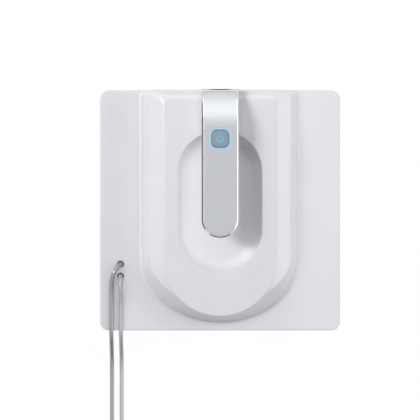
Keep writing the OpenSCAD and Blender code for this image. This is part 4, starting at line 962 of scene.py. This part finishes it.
# Light ring, button and the generic power symbol on it. Edges are pairs of inset and fall
CAP_GAP = 0.00015
FLANGE_T, STEM_R, STEM_ROUND, LEAST_R = 0.0008, 0.002, 0.98, 0.0005
RING_EDGE = ((0, 0.0005), (0.0001, 0.0002), (0.0004, 0))
CAP_EDGE = ((0, 0.0006), (0.0001, 0.0003), (0.0003, 0.0001), (0.0006, 0), (0.0018, 0.00006), (0.0045, 0.0002))
SYMBOL_R, SYMBOL_W, SYMBOL_OPEN = 0.003, 0.0012, 40
SYMBOL_STEPS, SYMBOL_ROOT = 48, 0.0004
BAR_LOW, BAR_HIGH = 0.0006, 0.0038


def squares(w, r, section):
    """Rounded squares round the button, from pairs of inset and height."""
    return [rounded_square(w - 2 * i, w - 2 * i, max(r - i, LEAST_R), z, BUTTON_Y, 16) for i, z in section]


def light_ring():
    section = [(0, ring_low.z)] + [(inset, HANDLE_Z + SKIN - fall) for inset, fall in RING_EDGE]
    section += [(RING_BAND - inset, z) for inset, z in reversed(section)]
    rings = squares(RING_W, RING_R, section)
    piece("light_ring_guide", hoop(rings), "ring_light", stands_for=("light_ring",))


def power_button():
    """The cap with its flange, an eased edge and a shallow dish, over the stem."""
    w, r = RING_W - 2 * RING_BAND - 2 * CAP_GAP, RING_R - RING_BAND - CAP_GAP
    flange_top = HANDLE_Z - BAND_T - CAP_GAP
    rings = [rounded_square(2 * STEM_R, 2 * STEM_R, STEM_R * STEM_ROUND, z, BUTTON_Y, 16)
             for z in (cap_low.z, flange_top - FLANGE_T)]
    rings += squares(w, r, [(-FLANGE_OUT, flange_top - FLANGE_T), (-FLANGE_OUT, flange_top), (0, flange_top)])
    rings += squares(w, r, [(inset, cap_high.z - fall) for inset, fall in CAP_EDGE])
    piece("power_button_cap", loft(rings), "button_face", "power_button", ("power_button",))


def power_symbol():
    """An open ring and a bar, raised a little from the cap."""
    half = SYMBOL_W / 2
    near, far = SYMBOL_R - half, SYMBOL_R + half
    angles = [math.radians(mix(90 + SYMBOL_OPEN, 450 - SYMBOL_OPEN, k / SYMBOL_STEPS))
              for k in range(SYMBOL_STEPS + 1)]
    outlines = [[(r * math.cos(t), r * math.sin(t)) for r, t in ((near, a), (far, a), (far, b), (near, b))]
                for a, b in zip(angles, angles[1:])]
    outlines.append([(-half, BAR_LOW), (half, BAR_LOW), (half, BAR_HIGH), (-half, BAR_HIGH)])
    points, faces = [], []
    for outline in outlines:
        made, sides = prism([(x, BUTTON_Y + y) for x, y in outline], cap_high.z - SYMBOL_ROOT,
                            cap_high.z - SKIN / 2)
        faces += [tuple(len(points) + v for v in f) for f in sides]
        points += made
    obj = raw("power_symbol", points, faces)
    joined = bmesh.new()
    joined.from_mesh(obj.data)
    bmesh.ops.remove_doubles(joined, verts=joined.verts, dist=1e-7)
    inner = [f for f in joined.faces if sum(len(e.link_faces) > 2 for e in f.edges) >= 3]
    bmesh.ops.delete(joined, geom=inner, context="FACES_ONLY")
    joined.to_mesh(obj.data)
    joined.free()
    dress(obj, "ring_light", "power_button", (), 35)


light_ring()
power_button()
power_symbol()

# Cleaning pad: a soft ring whose edges are rounded and whose pile is uneven
PAD_BAND = 0.026
PAD_CORNER = 0.010
PAD_ROUND, PAD_LIFT, PAD_TUCK, PAD_DRAW = 0.0012, 0.0004, 0.0006, 0.3
PAD_DEPTH = 0.00035
PAD_CUTS, PAD_ROWS = 124, 18
PAD_SEED = 7
SENSOR_INSET, PAD_HOLE_R = 0.0195, 0.006


def pad_ring(inset, z):
    """The pad's outline drawn in by inset, with its four long sides cut into short steps."""
    side = pad_high.x - pad_low.x - 2 * inset
    outline = rounded_square(side, side, PAD_CORNER - inset * PAD_DRAW, z, 0, 8)
    ring = []
    for a, b in zip(outline, outline[1:] + outline[:1]):
        cuts = PAD_CUTS if math.dist(a, b) > 2 * PAD_BAND else 1
        ring += [tuple(mix(p, q, k / cuts) for p, q in zip(a, b)) for k in range(cuts)]
    return ring


def cleaning_pad():
    top = pad_high.z
    edge = [(PAD_TUCK, top)]
    edge += [(PAD_ROUND * (1 - c), PAD_ROUND * (1 - s) + PAD_LIFT * c) for c, s in quarter(4)]
    flat = [(mix(PAD_ROUND, PAD_BAND - PAD_ROUND, k / PAD_ROWS), 0.0) for k in range(1, PAD_ROWS)]
    section = edge + flat + [(PAD_BAND - inset, z) for inset, z in reversed(edge)]
    rings = [[list(p) for p in pad_ring(*place)] for place in section]
    rng = np.random.default_rng(PAD_SEED)
    for ring in rings[2:-2]:
        for p, lift in zip(ring, rng.random(len(ring)) * PAD_DEPTH):
            p[2] += lift
    points, faces = hoop(rings)
    obj = raw("cleaning_pad_fibre", points, [f[::-1] for f in faces])
    reach = BODY_W / 2 - SENSOR_INSET
    for x in (-reach, reach):
        for y in (-reach, reach):
            combine(obj, "sensor_hole", prism(disc(x, y, PAD_HOLE_R, 32), -OVERRUN, top + OVERRUN))
    dress(obj, "pad_fibre", "robot", ("cleaning_pad",), 60)


cleaning_pad()

# Finishes of the pieces that the frame shows itself
slots = {row["node"]: row["material_slot"] for row in frame["record"]["subparts"]}
for node, obj in frame["nodes"].items():
    obj.data.materials.clear()
    obj.data.materials.append(finishes[slots[node]])

# Floor, world and lamps
FLOOR_SIZE = 12.0
FLOOR_GLOW, FLOOR_TONE, BOUNCE = 0.9, (0.12, 0.12, 0.12), (0.8, 0.8, 0.8)


def floor():
    """A white sheet that glows to the camera and still takes soft shadows."""
    h = FLOOR_SIZE / 2
    obj = raw("floor", [(-h, -h, -SKIN), (h, -h, -SKIN), (h, h, -SKIN), (-h, h, -SKIN)], [(0, 1, 2, 3)])
    f = Finish("floor", Base_Color=BOUNCE, Roughness=1.0, Specular_IOR_Level=0.0)
    both = f.add("AddShader")
    f.join(f.add("BsdfDiffuse", Color=FLOOR_TONE), "BSDF", both, 0)
    f.join(f.add("Emission", Color=(1, 1, 1), Strength=FLOOR_GLOW), "Emission", both, 1)
    f.show((both, "Shader"), (f.shader, "BSDF"), f.out)
    obj.data.materials.append(f.material)


# The studio's large soft sources: direction, cosines where each starts and is full, and radiance
SKY, SKY_TINT = 0.08, (0.985, 0.985, 1.0)
SKY_SOURCES = (
    ((0, 0, 1), 0.1, 0.8, 0.13),
    ((0.9, 0.0, 0.43), 0.75, 0.97, 0.2),
    ((-0.9, 0.0, 0.5), 0.7, 0.97, 0.65),
)


def world():
    """Dim soft light from all sides and the sources, before a backdrop that the camera sees white."""
    made = bpy.data.worlds.new("studio")
    bpy.context.scene.world = made
    made.use_nodes = True
    nodes = Nodes(made.node_tree)
    where = nodes.add("TexCoord")
    total = SKY
    for direction, start, full, radiance in SKY_SOURCES:
        dot = nodes.vector("DOT_PRODUCT", where, "Generated", Vector(direction).normalized())
        level = nodes.span(dot, "Value", 0, radiance, (start, full), "SMOOTHSTEP")
        total = (nodes.maths("ADD", (level, "Result"), total), "Value")
    ambient = nodes.add("Background", Color=SKY_TINT)
    nodes.join(*total, ambient, "Strength")
    white = nodes.add("Background", Color=(1, 1, 1))
    nodes.show((white, "Background"), (ambient, "Background"), nodes.add("OutputWorld"))


def lamp(name, azimuth, elevation, distance, size, power):
    """A rectangular soft box that looks at the robot. Azimuth 0 is at -Y and 90 at +X."""
    data = bpy.data.lights.new(name, "AREA")
    data.shape = "RECTANGLE"
    data.size, data.size_y = size
    data.energy = power
    obj = bpy.data.objects.new(name, data)
    a, e = math.radians(azimuth), math.radians(elevation)
    obj.location = Vector((math.sin(a) * math.cos(e), -math.cos(a) * math.cos(e), math.sin(e))) * distance
    obj.rotation_euler = (-obj.location).to_track_quat("-Z", "Y").to_euler()
    bpy.context.collection.objects.link(obj)
    return obj


floor()
world()
key = lamp("key", -109, 45, 3.0, (0.6, 1.1), 49)
right = lamp("right_strip", 90, 24, 2.0, (2.2, 0.66), 18.5)
rear = lamp("rear_strip", 180, 42, 1.2, (1.2, 0.4), 3.3)


def shadows_from(light, names):
    """Limits a lamp's shadows to those of some pieces, as a light tent does."""
    casters = bpy.data.collections.new(light.name + "_casters")
    for name in names:
        casters.objects.link(bpy.data.objects[name])
    light.light_linking.blocker_collection = casters


shadows_from(key, ("handle_shell_skin", "handle_trim_bead", "handle_plate_skin", "light_ring_guide",
                   "power_button_cap"))
for side_lamp in (right, rear):
    shadows_from(side_lamp, ("top_housing_skin", "power_lead", "safety_rope"))


def no_glint_on(light, name):
    """Leaves one polished piece out of a lamp's light, so that it doesn't mirror the lamp."""
    lit = bpy.data.collections.new(light.name + "_receivers")
    lit.objects.link(bpy.data.objects[name])
    lit.collection_objects[0].light_linking.link_state = "EXCLUDE"
    light.light_linking.receiver_collection = lit


no_glint_on(key, "handle_trim_bead")


def flag(name, azimuth, distance, width, height):
    """A black card that stands on the floor out of the picture. Polished metal shows it as a dark line."""
    a, up = math.radians(azimuth), Vector((0, 0, height))
    middle = Vector((math.sin(a), -math.cos(a), 0)) * distance
    side = Vector((math.cos(a), math.sin(a), 0)) * width
    low, high = middle - side / 2, middle + side / 2
    obj = raw(name, [low, high, high + up, low + up], [(0, 1, 2, 3)])
    obj.data.materials.append(finishes["black_plastic"])
    obj.visible_camera = False


flag("left_flag", -90, 1.3, 1.8, 0.5)
flag("front_flag", 0, 1.3, 1.8, 0.42)
flag("rear_flag", 180, 1.4, 1.8, 0.7)

view = bpy.context.scene.view_settings
view.view_transform = "Standard"
